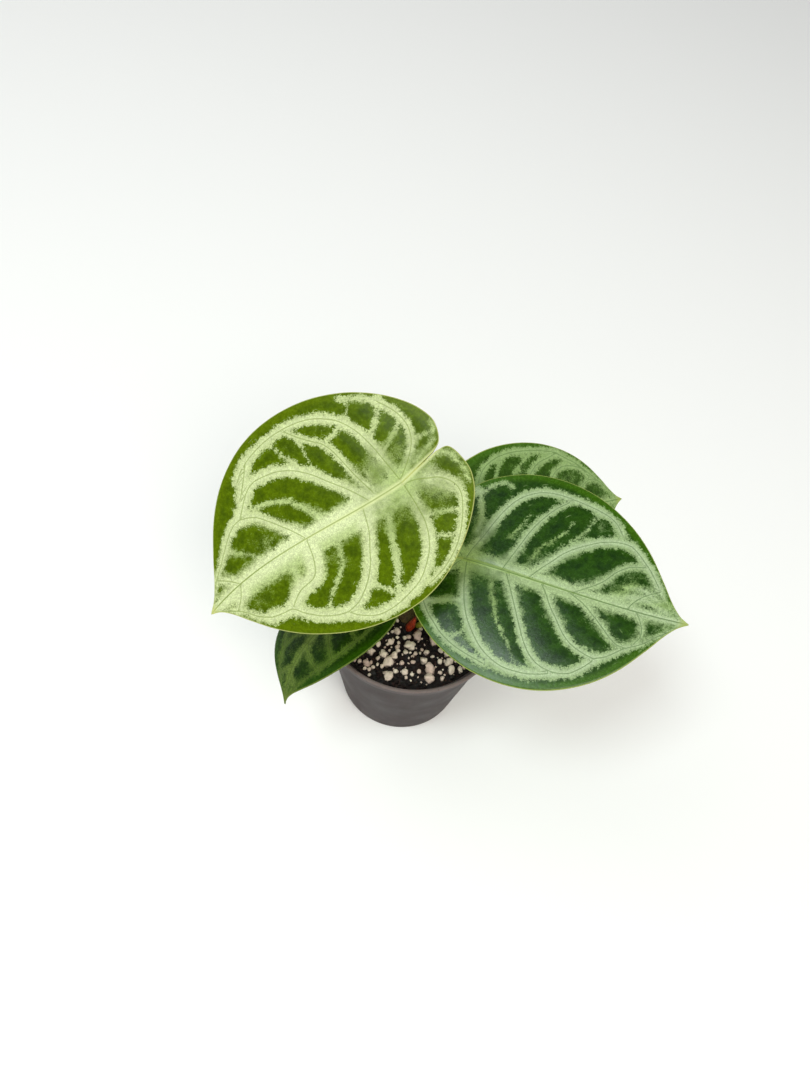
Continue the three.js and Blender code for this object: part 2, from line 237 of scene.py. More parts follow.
def run_nodes(base, tree, **inputs):
    """The result of a Geometry Nodes tree on base, as a plain mesh object with base's name."""
    modifier = base.modifiers.new("nodes", "NODES")
    modifier.node_group = tree
    for socket in tree.interface.items_tree:
        key = socket.name.replace(" ", "_")
        if key in inputs:
            modifier[socket.identifier] = inputs[key]
    depsgraph = bpy.context.evaluated_depsgraph_get()
    mesh = bpy.data.meshes.new_from_object(base.evaluated_get(depsgraph), depsgraph=depsgraph)
    name = base.name
    bpy.data.objects.remove(base)
    mesh.name = name
    return in_scene(name, mesh)


def new_tree(name, **sockets):
    """A Geometry Nodes tree with a geometry input and output and the named inputs: itself, a
    function that adds a node to it, and what its inputs give."""
    tree = bpy.data.node_groups.new(name, "GeometryNodeTree")
    tree.interface.new_socket("Geometry", in_out="OUTPUT", socket_type="NodeSocketGeometry")
    for label, kind in {"Geometry": "Geometry", **sockets}.items():
        tree.interface.new_socket(
            label.replace("_", " "), in_out="INPUT", socket_type="NodeSocket" + kind
        )
    return tree, partial(node, tree), tree.nodes.new("NodeGroupInput").outputs


def drain_hole_tree():
    """A tree that cuts a ring of round holes through the pot's base."""
    tree, add, given = new_tree(
        "drain_holes", Holes="Int", Hole_Radius="Float", Circle_Radius="Float", Depth="Float",
        Material="Material",
    )
    centres = add("MeshCircle", Vertices=given["Holes"], Radius=given["Circle Radius"])
    drill = add(
        "MeshCylinder", Vertices=DRAIN_SIDES, Radius=given["Hole Radius"], Depth=given["Depth"]
    )
    drills = add("InstanceOnPoints", Points=centres, Instance=drill)
    drills = add("RealizeInstances", drills)
    cut = add("MeshBoolean", given["Geometry"], drills, operation="DIFFERENCE", solver="EXACT")
    add("GroupOutput", add("SetMaterial", cut, Material=given["Material"]))
    return tree


band_bottom = POT_HEIGHT - BAND_HEIGHT
band_wall = wall_radius(band_bottom)
pot_profile = [
    (0, 0),
    (BASE_RADIUS - FOOT_ROUND, 0),
    (BASE_RADIUS, FOOT_ROUND),
    (band_wall, band_bottom),
    (band_wall + BAND_STEP, band_bottom + BAND_SLOPE),
    (RIM_RADIUS - LIP_BULGE, POT_HEIGHT - LIP_HEIGHT),
    (RIM_RADIUS, POT_HEIGHT - LIP_MIDDLE),
    (RIM_RADIUS - LIP_ROUND, POT_HEIGHT),
    (RIM_RADIUS - LIP_WIDTH, POT_HEIGHT),
    (band_wall + BAND_STEP - WALL, band_bottom + INNER_STEP_TOP),
    (band_wall - WALL, band_bottom + INNER_STEP_BOTTOM),
    (wall_radius(FLOOR_THICKNESS) - WALL, FLOOR_THICKNESS),
    (0, FLOOR_THICKNESS),
]
polypropylene = moulded_polypropylene()
pot_mesh = turned(rounded(pot_profile, CORNER_RADIUS), POT_SEGMENTS)
pot = add_piece("nursery_pot", *pot_mesh, polypropylene)
pot = run_nodes(
    pot, drain_hole_tree(), Holes=DRAIN_HOLES, Hole_Radius=DRAIN_RADIUS * MM,
    Circle_Radius=DRAIN_CIRCLE * MM, Depth=DRILL_DEPTH * MM, Material=polypropylene,
)
pot.data.set_sharp_from_angle(angle=math.radians(40))
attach(pot, "root")
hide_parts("pot")


# Soil
# A dark mix of peat and fine bark, moist and loose, mounded a little in the middle and pressed in
# round the stem, with puffed white perlite lying in clusters in its surface.

SOIL_LEVEL = 67
SOIL_MOUND = 1.6
SOIL_ROUGHNESS = 0.5
SOIL_GAP = 0.3
SOIL_SHOULDER = 1.5
SOIL_BOTTOM = FLOOR_THICKNESS + 0.2
SOIL_RINGS = 64
SOIL_SIDES = 240
CRUMB_SIZE = 2.4
CRUMB_HEIGHT = 0.8
# How fast the finer crumbs fade, how much finer each layer of them is, and how many layers
CRUMB_LAYERS = (0.6, 2.1, 4)
CROWN_PLACE = np.array([-1.0, -3.0])
STEM_CLEARANCE = 6.5
LEAST_UPWARD = 0.3
SMALL_BIAS = 1.7
CLUSTER_SIZE = 9
DENT_SIZE = 1.8
FULL_TURN = 6.3


def soil_height(x, y):
    """A low round mound with broad lumps that die out at the pot's wall."""
    r = np.hypot(x, y) / wall_radius(SOIL_LEVEL)
    lumps = np.sin(x * 0.31 + 1.3) * np.cos(y * 0.27) + 0.6 * np.sin(x * 0.83 - y * 0.61)
    return SOIL_LEVEL + SOIL_MOUND * (1 - r * r) + SOIL_ROUGHNESS * lumps * (1 - r**4)


def soil_surface():
    """Points and faces of the soil: a rough round field, closed down the wall and underneath."""
    edge = wall_radius(SOIL_LEVEL) - WALL - SOIL_GAP
    foot = wall_radius(FLOOR_THICKNESS) - WALL - SOIL_GAP
    profile = [(0, SOIL_BOTTOM), (foot, SOIL_BOTTOM), (edge, SOIL_LEVEL - SOIL_SHOULDER)]
    profile += [(edge * k / SOIL_RINGS, SOIL_LEVEL) for k in range(SOIL_RINGS, -1, -1)]
    points, faces = turned(profile, SOIL_SIDES)
    raised = []
    for x, y, z in points:
        if z >= SOIL_LEVEL:
            crumb = noise.fractal(Vector((x, y, 0)) / CRUMB_SIZE, *CRUMB_LAYERS)
            z = float(soil_height(x, y)) + CRUMB_HEIGHT * crumb
        raised.append((x, y, z))
    return raised, faces


def peat_and_bark():
    """Moist and nearly black: matt, with brown fibres and a few damp glints."""
    material, add, shader = new_finish("peat_and_bark")
    place = add("TexCoord", output="Object")
    lumps = add("TexNoise", Vector=place, Scale=1 / (2.2 * MM), Detail=5)
    bits = add("TexVoronoi", Vector=place, Scale=1 / (0.9 * MM), output="Color")
    bit = add("SeparateColor", bits)
    colour = layered(
        add, "#0b0605", (add("MapRange", lumps, 0.4, 0.75), "#24130e"),
        (add("MapRange", bit, 0.93, 0.96, 0, 0.6), "#43291e"),
    )
    height = add("Math", lumps, bit)
    feed(
        shader, Base_Color=colour, IOR=1.4,
        Roughness=add("MapRange", lumps, 0.3, 0.65, 0.55, 0.95),
        Normal=add("Bump", Strength=0.8, Distance=0.4 * MM, Height=height),
    )
    return material


def expanded_perlite():
    """Puffed volcanic glass: chalky and matt, cream to pinkish white, pitted and stained with soil,
    and darker where it faces down as painted shade."""
    material, add, shader = new_finish("expanded_perlite")
    place = add("TexCoord", output="Object")
    tint = add("Attribute", attribute_name="tint", output="Fac")
    pores = add("TexNoise", Vector=place, Scale=1 / (0.6 * MM), Detail=4)
    stain = add("TexNoise", Vector=place, Scale=1 / (2 * MM), Detail=4)
    facing = add("SeparateXYZ", add("NewGeometry", output="Normal"), output="Z")
    colour = layered(
        add, "#ece0cb", (tint, "#cdb5a6"),
        (add("MapRange", stain, 0.5, 0.8, 0, 0.6), "#6d5847"),
        (add("MapRange", pores, 0.34, 0.26, 0, 0.6), "#4a3a30"),
        # Painted shade: the lower side of each lump, where it faces down, is darkened
        (mask(add, (facing, 0.62, -0.1, 0, 0.85)), "#3a2b24"),
    )
    feed(
        shader, Base_Color=colour, IOR=1.5, Roughness=0.9,
        Normal=add("Bump", Strength=0.6, Distance=0.25 * MM, Height=pores),
    )
    return material


def lump_tree():
    """A tree that strews lumps over the soil, clear of the stem. Each is a subdivided cube, rounded
    and dented, with its own size, turn and tint."""
    tree, add, given = new_tree(
        "scattered_lumps", Spacing="Float", Density="Float", Smallest="Float", Largest="Float",
        Flatness="Float", Dent="Float", Lift="Float", Cluster="Float", Reach="Float", Detail="Int",
        Seed="Int", Material="Material",
    )
    place = add("InputPosition")
    normal = add("InputNormal")
    upward = add("SeparateXYZ", normal, output="Z")
    spot = add("VectorMath", place, (1, 1, 0), operation="MULTIPLY")
    from_middle = add("VectorMath", spot, operation="LENGTH")
    stem = (CROWN_PLACE[0] * MM, CROWN_PLACE[1] * MM, 0)
    from_stem = add("VectorMath", spot, stem, operation="DISTANCE")
    chosen = add("Math", from_stem, STEM_CLEARANCE * MM, operation="GREATER_THAN")
    for value, limit, test in (
        (from_middle, given["Reach"], "LESS_THAN"), (upward, LEAST_UPWARD, "GREATER_THAN")
    ):
        passed = add("Math", value, limit, operation=test)
        chosen = add("Math", chosen, passed, operation="MULTIPLY")
    drift = add("TexNoise", Vector=place, Scale=1 / (CLUSTER_SIZE * MM), Detail=1)
    drift = add("MapRange", drift, 0.35, 0.6)
    gathered = add("Mix", given["Cluster"], 1.0, drift, data_type="FLOAT")
    points = add(
        "DistributePointsOnFaces", Mesh=given["Geometry"], Selection=chosen,
        Distance_Min=given["Spacing"], Density_Max=given["Density"], Density_Factor=gathered,
        Seed=given["Seed"], distribute_method="POISSON",
    )
    chance = add("RandomValue", 0.0, 1.0, Seed=given["Seed"])
    chance = add("Math", chance, SMALL_BIAS, operation="POWER")
    size = add("MapRange", chance, 0, 1, given["Smallest"], given["Largest"])
    tint = add("RandomValue", 0.0, 1.0, Seed=5)
    for label, value in (("size", size), ("tint", tint)):
        points = add(
            "StoreNamedAttribute", points, Name=label, Value=value, data_type="FLOAT",
            domain="POINT",
        )
    size = add("InputNamedAttribute", Name="size", data_type="FLOAT")
    rise = add("Math", size, given["Lift"], operation="MULTIPLY")
    points = add("SetPosition", points, Offset=add("CombineXYZ", Z=rise))
    turn = add("RandomValue", (0, 0, 0), (FULL_TURN,) * 3, Seed=3, data_type="FLOAT_VECTOR")
    flat = add("Math", size, given["Flatness"], operation="MULTIPLY")
    cube = add("MeshCube", Size=(2.0, 2.0, 2.0))
    lumps = add(
        "InstanceOnPoints", Points=points, Rotation=turn,
        Instance=add("SubdivisionSurface", Mesh=cube, Level=given["Detail"]),
        Scale=add("CombineXYZ", size, flat, flat),
    )
    lumps = add("RealizeInstances", lumps)
    dents = add("TexNoise", Vector=place, Scale=1 / (DENT_SIZE * MM), Detail=1)
    dents = add("Math", dents, 0.5, operation="SUBTRACT")
    for factor in (given["Dent"], size):
        dents = add("Math", dents, factor, operation="MULTIPLY")
    inward = add("VectorMath", normal, Scale=dents, operation="SCALE")
    lumps = add("SetShadeSmooth", add("SetPosition", lumps, Offset=inward))
    add("GroupOutput", add("SetMaterial", lumps, Material=given["Material"]))
    return tree


peat = peat_and_bark()
perlite = expanded_perlite()
scatter = lump_tree()
soil_mesh = soil_surface()
for name, values in {
    "perlite_nodules": dict(
        Spacing=3.5 * MM, Density=110000.0, Smallest=1.5 * MM, Largest=3.2 * MM, Flatness=0.78,
        Dent=1.1, Lift=0.6, Cluster=0.25, Reach=35.8 * MM, Detail=2, Seed=11, Material=perlite,
    ),
    "perlite_grit": dict(
        Spacing=1.7 * MM, Density=420000.0, Smallest=0.6 * MM, Largest=1.6 * MM, Flatness=0.78,
        Dent=1.5, Lift=0.6, Cluster=0.75, Reach=37 * MM, Detail=1, Seed=4, Material=perlite,
    ),
    "bark_crumbs": dict(
        Spacing=1.5 * MM, Density=600000.0, Smallest=0.5 * MM, Largest=2.0 * MM, Flatness=0.6,
        Dent=3.0, Lift=0.15, Cluster=0.0, Reach=37 * MM, Detail=1, Seed=7, Material=peat,
    ),
}.items():
    lumps = run_nodes(add_piece(name, *soil_mesh), scatter, **values)
    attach(lumps, "root")
    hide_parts("soil")
soil = add_piece("potting_soil", *soil_mesh, peat)
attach(soil, "root")
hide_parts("soil")


# Crown and new growth
# The short stem in the middle of the soil, ringed with old leaf scars. At its foot stand a red,
# tightly rolled new leaf, a green sheath that has just opened and a dry papery one.

CROWN_RADIUS = 4.8
CROWN_BOTTOM = 44
CROWN_TOP = 71.5
SCAR_SPACING = 3.2
SCAR_DEPTH = 0.44
CROWN_SIDES = 64
SHEATH_FOLD = 0.16
SHEATH_TWIST = 0.8
BUD_SIDES = 40
BUD_STEPS = 70


def catmull_rom(points, t):
    """Points on the smooth curve through the given points, with t from 0 to 1 along them."""
    points = np.array(points, float)
    last = len(points) - 1
    points = np.vstack([2 * points[0] - points[1], points, 2 * points[-1] - points[-2]])
    place = np.clip(np.atleast_1d(t), 0, 1) * last
    first = np.minimum(place.astype(int), last - 1)
    u = (place - first)[:, None]
    a, b, c, d = (points[first + k] for k in range(4))
    return b + 0.5 * u * (c - a + u * (2 * a - 5 * b + 4 * c - d) + u**2 * (3 * b - a - 3 * c + d))


def rolled(path, fold, twist):
    """Points and faces of a rolled leaf or sheath along a path of (x, y, z, radius). A fold is how
    far its overlapping edge stands out, and twist is how many turns that edge makes."""
    t = np.linspace(0, 1, BUD_STEPS)
    along = catmull_rom(path, t)
    centres, radii = along[:, :3], along[:, 3]
    ahead = np.gradient(centres, axis=0)
    ahead /= np.linalg.norm(ahead, axis=1)[:, None]
    side = np.cross(ahead, (0, 1, 0))
    side /= np.linalg.norm(side, axis=1)[:, None]
    front = np.cross(ahead, side)
    angles = np.linspace(0, 2 * math.pi, BUD_SIDES, endpoint=False)
    points = []
    for k in range(BUD_STEPS):
        wrap = ((angles - twist * 2 * math.pi * t[k]) / (2 * math.pi)) % 1
        reach = radii[k] * (1 - fold + fold * wrap)
        points += list(
            centres[k] + reach[:, None]
            * (np.cos(angles)[:, None] * side[k] + np.sin(angles)[:, None] * front[k])
        )
    faces = []
    for k in range(BUD_STEPS - 1):
        for i in range(BUD_SIDES):
            a, b = k * BUD_SIDES + i, k * BUD_SIDES + (i + 1) % BUD_SIDES
            faces.append([a, a + BUD_SIDES, b + BUD_SIDES, b])
    faces.append(list(range(BUD_SIDES)))
    faces.append(list(range((BUD_STEPS - 1) * BUD_SIDES, BUD_STEPS * BUD_SIDES))[::-1])
    return points, faces


def plant_skin(name, dark, pale, roughness):
    """Skin of a stem or sheath: fine fibres along it, blotched from the dark to the pale colour."""
    material, add, shader = new_finish(name)
    place = add("TexCoord", output="Object")
    upright = add("Mapping", Vector=place, Scale=(1, 1, 0.12))
    fibre = add("TexNoise", Vector=upright, Scale=1 / (0.5 * MM), Detail=3)
    blotch = add("TexNoise", Vector=place, Scale=1 / (5 * MM), Detail=3)
    paler = add("MapRange", add("Math", fibre, blotch), 0.75, 1.25)
    feed(
        shader, Base_Color=layered(add, dark, (paler, pale)), IOR=1.42, Roughness=roughness,
        Subsurface_Weight=0.06, Subsurface_Scale=0.8 * MM,
        Normal=add("Bump", Strength=0.4, Distance=0.15 * MM, Height=fibre),
    )
    return material


crown_profile = [
    (0, CROWN_BOTTOM), (CROWN_RADIUS * 0.6, CROWN_BOTTOM),
    (CROWN_RADIUS * 0.85, CROWN_BOTTOM + 4), (CROWN_RADIUS, CROWN_BOTTOM + 14),
]
for height in np.arange(CROWN_BOTTOM + 15, CROWN_TOP - 4, 0.4):
    scar = abs(math.sin(math.pi * height / SCAR_SPACING)) ** 0.5
    crown_profile.append((CROWN_RADIUS - SCAR_DEPTH * (1 - scar), height))
crown_profile += [
    (CROWN_RADIUS, CROWN_TOP - 4), (CROWN_RADIUS * 0.95, CROWN_TOP - 2.2),
    (CROWN_RADIUS * 0.8, CROWN_TOP - 1.2), (CROWN_RADIUS * 0.4, CROWN_TOP - 0.2), (0, CROWN_TOP),
]
crown_points, crown_faces = turned(crown_profile, CROWN_SIDES)
crown = add_piece(
    "stem_crown", np.array(crown_points) + (*CROWN_PLACE, 0), crown_faces,
    plant_skin("corky_stem_skin", "#2c1f12", "#6a5a30", 0.75),
)
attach(crown, "root")
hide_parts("crown")

# Each path is relative to the crown's middle, with the radius at each of its points
for name, cad_node, slot, path, skin in (
    ("rolled_new_leaf", "new_leaf_bud", "new_growth",
     [(0.4, -5.4, 60, 1.3), (0.8, -6, 66, 1.8), (1.4, -6.6, 71, 1.9), (2.2, -7, 76, 1.3),
      (2.8, -7, 81, 0.3)],
     plant_skin("red_new_leaf_skin", "#5e0f0b", "#c24a26", 0.35)),
    ("opened_green_sheath", "green_sheath", "green_sheath",
     [(4.2, -3.9, 60, 1.1), (4.5, -4.3, 66, 1.4), (5.4, -5.3, 71, 1.5), (6.6, -6.6, 75, 0.9),
      (7.5, -7.6, 78, 0.3)],
     plant_skin("green_sheath_skin", "#66660f", "#9ca838", 0.42)),
    ("papery_dry_sheath", "dry_sheath", "dry_sheath",
     [(-5, 2.8, 60, 1.1), (-5.5, 3.2, 65, 1.4), (-6.2, 4, 70, 1.2), (-7.2, 5.2, 75, 0.4)],
     plant_skin("papery_dry_skin", "#54381f", "#a07e54", 0.8)),
):
    middle = np.array(path) + (*CROWN_PLACE, 0, 0)
    shoot = add_piece(name, *rolled(middle, SHEATH_FOLD, SHEATH_TWIST), skin)
    shoot.data.set_sharp_from_angle(angle=math.radians(50))
    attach(shoot, "root")
    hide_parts(cad_node)


# Leaf blades
# Four heart-shaped blades, each grown as one leathery sheet that meets its stalk between two round
# lobes. Air in the cells over the veins makes them silver, and green shows in the islands between.

BLADE_THICKNESS = 0.8
MARGIN_THICKNESS = 0.62
MIDRIB_DEPTH = 1.1
MIDRIB_WIDTH = 1.3
MIDRIB_CREST = 0.35
CREST_WIDTH = 0.5
MIDRIB_GROOVE = 0.3
GROOVE_WIDTH = 1.6
MIDRIB_FADE = 0.7
RIB_DEPTH = 0.6
RIB_WIDTH = 0.9
RIB_MARGIN = 8
QUILT_HEIGHT = 0.22
QUILT_REACH = 4.5
QUILT_MARGIN = 5
RIM_BULGE = 0.15
WELD_DISTANCE = 0.002
GRID_SIZE = 0.72
# Shares of the blade's length, and of the way along the outline where its cross veins begin to
# leave the midrib and are fully bowed
OUTLINE_LENGTH = 1.75
HALF_WIDTH = 0.5
FIRST_MIDRIB_VEIN = 0.51
FIRST_BOWED_VEIN = 0.12
VEIN_BOW = 0.13
MIDRIB_CROWDING = 1.2
TIP_CROWDING = 1.1
SKEW_GAIN = 1.6
SWAY_GAIN = 27 / 4
LAP_REACH = 0.1
FOLD_ROUNDING = 0.02
ROUTE_STEPS = 8
EDGE_STEPS = 200
SINUS_STEPS = 12
NO_REACH = 0.01
# From this half width on, a vein's silver has a dark line in it. Where silver meets silver, the
# two melt together, and a pattern that runs along a vein starts anew on the next
MAIN_VEIN = 2
SILVER_BLEND = 0.7
VEIN_OFFSET = 100
FIELDS = ("silver", "line", "along", "gap", "margin", "cloud", "stalk", "midrib")

# Half of a blade's outline, from the back end of one lobe to the tip of a blade of length 1
HALF_OUTLINE = np.array([
    (-182, 3), (-233, 21), (-263, 80), (-270, 145), (-237, 230),
    (-156, 325), (-38, 411), (90, 466), (220, 487), (350, 482),
    (470, 455), (580, 408), (680, 345), (770, 263), (850, 163),
    (910, 79), (955, 29), (1000, 0),
]) / 1000

# Each vein: the half width of its silver in mm where it starts and where it ends, and its route in
# thousandths of the blade's length, with the midrib along x. Each cloud of silver specks: how
# dense it is, its radius in mm and its middle
MIDRIB = [(0, 0), (500, 0), (1000, 0)]
FRONT_LEFT_VEINS = {
    "left": [
        (8.2, 7.0, [(0, 0), (400, 0), (800, 0)]),
        (6.6, 2.4, [(800, 0), (900, 0), (1000, 0)]),
        (2.2, 1.4, [(0, 10), (-50, 30), (-100, 60), (-150, 90), (-190, 140), (-195, 190),
            (-170, 250), (-130, 310), (-80, 360), (0, 405), (80, 430)]),
        (3.0, 2.5, [(0, 0), (-10, 100), (-12, 200), (10, 280), (50, 340), (110, 395), (180, 425),
            (260, 445), (340, 445), (410, 410), (450, 372)]),
        (1.7, 1.1, [(90, 30), (120, 120), (145, 200), (165, 280), (195, 350), (215, 410)]),
        (0.9, 0.7, [(215, 410), (260, 360), (310, 300)]),
        (3.0, 2.6, [(190, 0), (210, 100), (240, 170), (280, 250), (330, 310), (390, 355),
            (450, 372)]),
        (2.8, 2.8, [(450, 372), (500, 360), (560, 330), (620, 280), (660, 235), (710, 225),
            (760, 210)]),
        (1.1, 0.6, [(340, 30), (355, 120), (390, 200), (440, 240), (490, 280), (510, 330)]),
        (5.2, 3.4, [(460, 0), (475, 100), (510, 165), (590, 185), (650, 225)]),
        (1.9, 1.9, [(560, 0), (565, 70), (575, 140)]),
        (2.0, 1.0, [(760, 210), (810, 170), (850, 120), (890, 80), (970, 15)]),
        (2.8, 2.0, [(810, 0), (840, 50), (880, 85)]),
        (1.0, 0.9, [(-10, 170), (-70, 190), (-160, 235)]),
        (0.9, 0.7, [(0, 260), (-60, 290), (-120, 320)]),
        (1.7, 1.4, [(-100, 60), (-140, 120), (-170, 150)]),
        (0.8, 0.6, [(-150, 12), (-190, 20), (-215, 35), (-236, 66), (-250, 113), (-248, 159)]),
    ],
    "right": [
        (5.4, 2.4, MIDRIB),
        (2.2, 1.8, [(0, 10), (-80, 50), (-138, 100), (-168, 160), (-168, 217), (-150, 267),
            (-126, 309)]),
        (1.5, 0.9, [(-126, 309), (-87, 350), (-38, 382), (10, 409)]),
        (1.0, 0.8, [(-150, 106), (-193, 93), (-241, 76)]),
        (0.5, 0.4, [(-241, 76), (-254, 98), (-256, 125)]),
        (0.8, 1.1, [(-216, 42), (-174, 32), (-135, 28), (-95, 22)]),
        (2.6, 2.2, [(0, 0), (5, 100), (10, 180), (25, 260), (60, 330), (110, 375), (170, 405),
            (250, 420), (340, 420), (430, 405), (520, 375), (580, 335)]),
        (2.0, 1.2, [(120, 30), (135, 100), (145, 170), (155, 240), (175, 290), (210, 325),
            (250, 370), (280, 410)]),
        (0.8, 0.5, [(40, 30), (90, 80), (90, 120)]),
        (0.6, 0.6, [(80, 310), (130, 295), (170, 285)]),
        (0.5, 0.4, [(270, 220), (262, 270), (255, 330), (270, 380)]),
        (0.7, 0.5, [(320, 280), (345, 330), (370, 400)]),
        (2.8, 2.9, [(150, 0), (170, 40), (200, 90), (245, 150), (290, 210), (340, 255), (400, 285),
            (460, 297), (520, 300), (570, 280), (620, 240), (660, 205)]),
        (2.8, 2.2, [(500, 385), (550, 330), (610, 270)]),
        (1.7, 0.7, [(330, 0), (370, 70), (410, 130), (450, 170), (510, 195), (580, 210),
            (630, 220)]),
        (2.6, 2.4, [(460, 0), (490, 50), (520, 90), (560, 140), (600, 180), (660, 205)]),
        (0.8, 0.5, [(660, 0), (700, 60), (745, 100), (790, 135)]),
        (2.4, 1.7, [(810, 0), (850, 40), (895, 75)]),
        (2.7, 1.1, [(660, 205), (700, 200), (750, 175), (800, 140), (850, 105), (900, 75),
            (960, 25)]),
        (1.0, 0.8, [(5, 130), (-60, 155), (-140, 190)]),
        (1.3, 1.0, [(10, 200), (-40, 230), (-100, 275)]),
        (0.6, 0.4, [(30, 320), (0, 360), (-20, 385)]),
    ],
    "clouds": {
        "left": [(0.5, 6, (570, 110)), (0.3, 8, (760, 110)), (0.6, 7, (-110, 100)),
                 (0.35, 7, (380, 120)), (0.45, 7, (50, 100)), (0.35, 6, (170, 110)),
                 (0.8, 5, (-100, 20)), (0.3, 4, (-155, 158))],
        "right": [(0.8, 6, (80, 70)), (0.45, 7, (620, 50)), (0.3, 5, (300, 340)),
                  (0.35, 6, (120, 360)), (0.5, 5, (40, 120)), (0.5, 6, (-60, 100))],
    },
}
RIGHT_VEINS = {
    "left": [
        (5.2, 2.2, MIDRIB),
        (2.2, 1.8, [(0, 0), (-80, 70), (-140, 140), (-170, 210), (-140, 280), (-100, 330)]),
        (1.2, 0.8, [(-100, 330), (-60, 330), (-30, 370), (20, 400), (60, 385)]),
        (2.6, 2.0, [(10, 0), (20, 60), (40, 130), (55, 200), (75, 270), (105, 330), (150, 375),
            (210, 405), (290, 415), (380, 410), (460, 400), (530, 385), (580, 360), (620, 320)]),
        (1.6, 1.1, [(0, 140), (-10, 210), (-50, 280), (-80, 330)]),
        (2.4, 1.5, [(180, 0), (200, 90), (215, 160), (230, 220), (255, 280), (290, 340),
            (340, 395)]),
        (0.3, 0.2, [(280, 80), (300, 150), (340, 200), (380, 260), (400, 310)]),
        (0.5, 0.8, [(420, 220), (460, 280), (480, 340), (500, 385)]),
        (0.3, 0.2, [(150, 150), (175, 220), (190, 280)]),
        (2.7, 2.3, [(300, 0), (330, 50), (365, 100), (400, 150), (440, 190), (490, 225), (540, 255),
            (600, 275), (660, 280), (700, 265), (745, 230), (790, 190), (840, 130)]),
        (2.0, 1.3, [(500, 0), (560, 45), (610, 90), (650, 145), (700, 185), (760, 200)]),
        (1.8, 1.3, [(620, 0), (660, 30), (720, 50)]),
        (2.0, 1.0, [(740, 0), (760, 40), (800, 80), (850, 110)]),
        (1.9, 1.6, [(680, 35), (780, 60), (900, 30)]),
        (1.7, 1.5, [(710, 90), (780, 100), (860, 65)]),
        (1.6, 0.9, [(840, 130), (880, 80), (930, 40), (980, 10)]),
    ],
    "right": [
        (5.0, 2.2, MIDRIB),
        (2.2, 1.6, [(0, 0), (-60, 60), (-120, 100), (-160, 160), (-160, 220), (-120, 280),
            (-70, 325), (-20, 365), (40, 395), (110, 415), (190, 430)]),
        (2.6, 2.5, [(20, 0), (25, 80), (35, 140), (50, 200), (75, 260), (110, 310), (150, 355),
            (200, 390), (270, 415), (350, 415), (420, 400), (500, 370)]),
        (1.6, 1.3, [(40, 190), (-30, 205), (-90, 225), (-150, 230)]),
        (0.7, 0.7, [(70, 330), (40, 350), (20, 380)]),
        (0.9, 0.3, [(140, 0), (155, 100), (180, 160), (200, 220), (240, 270), (280, 320),
            (310, 370)]),
        (2.2, 2.5, [(200, 0), (225, 50), (250, 100), (280, 160), (315, 230), (350, 290), (390, 335),
            (440, 360), (500, 365), (560, 350), (610, 310), (650, 265)]),
        (2.3, 2.1, [(360, 0), (390, 40), (420, 90), (460, 140), (500, 190), (545, 225), (600, 245),
            (650, 255)]),
        (2.4, 1.4, [(480, 0), (550, 30), (600, 65), (650, 105), (690, 140), (730, 165),
            (770, 170)]),
        (2.0, 1.0, [(780, 0), (810, 50), (820, 100), (800, 140)]),
        (2.1, 1.0, [(650, 255), (700, 230), (740, 195), (780, 165), (830, 135), (880, 90),
            (930, 50), (980, 10)]),
    ],
    "clouds": {
        "left": [(0.45, 9, (720, 100)), (0.5, 6, (-20, 200)), (0.4, 6, (520, 340)),
                 (0.35, 8, (880, 50)), (0.4, 6, (100, 50))],
        "right": [(0.4, 6, (100, 385)), (0.3, 6, (-20, 300)), (0.45, 6, (600, 50)),
                  (0.35, 7, (80, 60)), (0.35, 6, (920, 40))],
    },
}
BACK_RIGHT_VEINS = {
    "left": [
        (5.5, 2.4, MIDRIB),
        (2.4, 1.8, [(0, 0), (-100, 70), (-160, 140), (-180, 210), (-150, 280), (-80, 340)]),
        (2.8, 2.4, [(0, 0), (0, 100), (10, 200), (30, 290), (80, 360), (150, 405), (250, 430),
            (380, 425), (500, 400), (580, 375)]),
        (1.6, 1.2, [(100, 0), (110, 150), (120, 250), (150, 320), (200, 400)]),
        (1.4, 1.2, [(160, 0), (200, 120), (240, 220), (270, 300), (310, 340), (380, 400)]),
        (2.8, 2.4, [(220, 0), (280, 120), (330, 220), (380, 290), (440, 335), (510, 355),
            (570, 375)]),
        (2.6, 2.2, [(400, 0), (450, 130), (490, 200), (530, 250), (590, 280), (660, 275),
            (730, 240), (770, 180)]),
        (2.6, 1.6, [(600, 0), (660, 80), (720, 140), (780, 165), (840, 140)]),
        (2.6, 1.2, [(570, 375), (630, 330), (700, 280), (770, 210), (840, 140), (920, 60),
            (980, 10)]),
        (1.0, 0.8, [(0, 190), (-70, 210), (-150, 235)]),
    ],
    "right": RIGHT_VEINS["right"],
    "clouds": {"left": [(0.4, 8, (300, 320)), (0.4, 9, (600, 200))], "right": []},
}
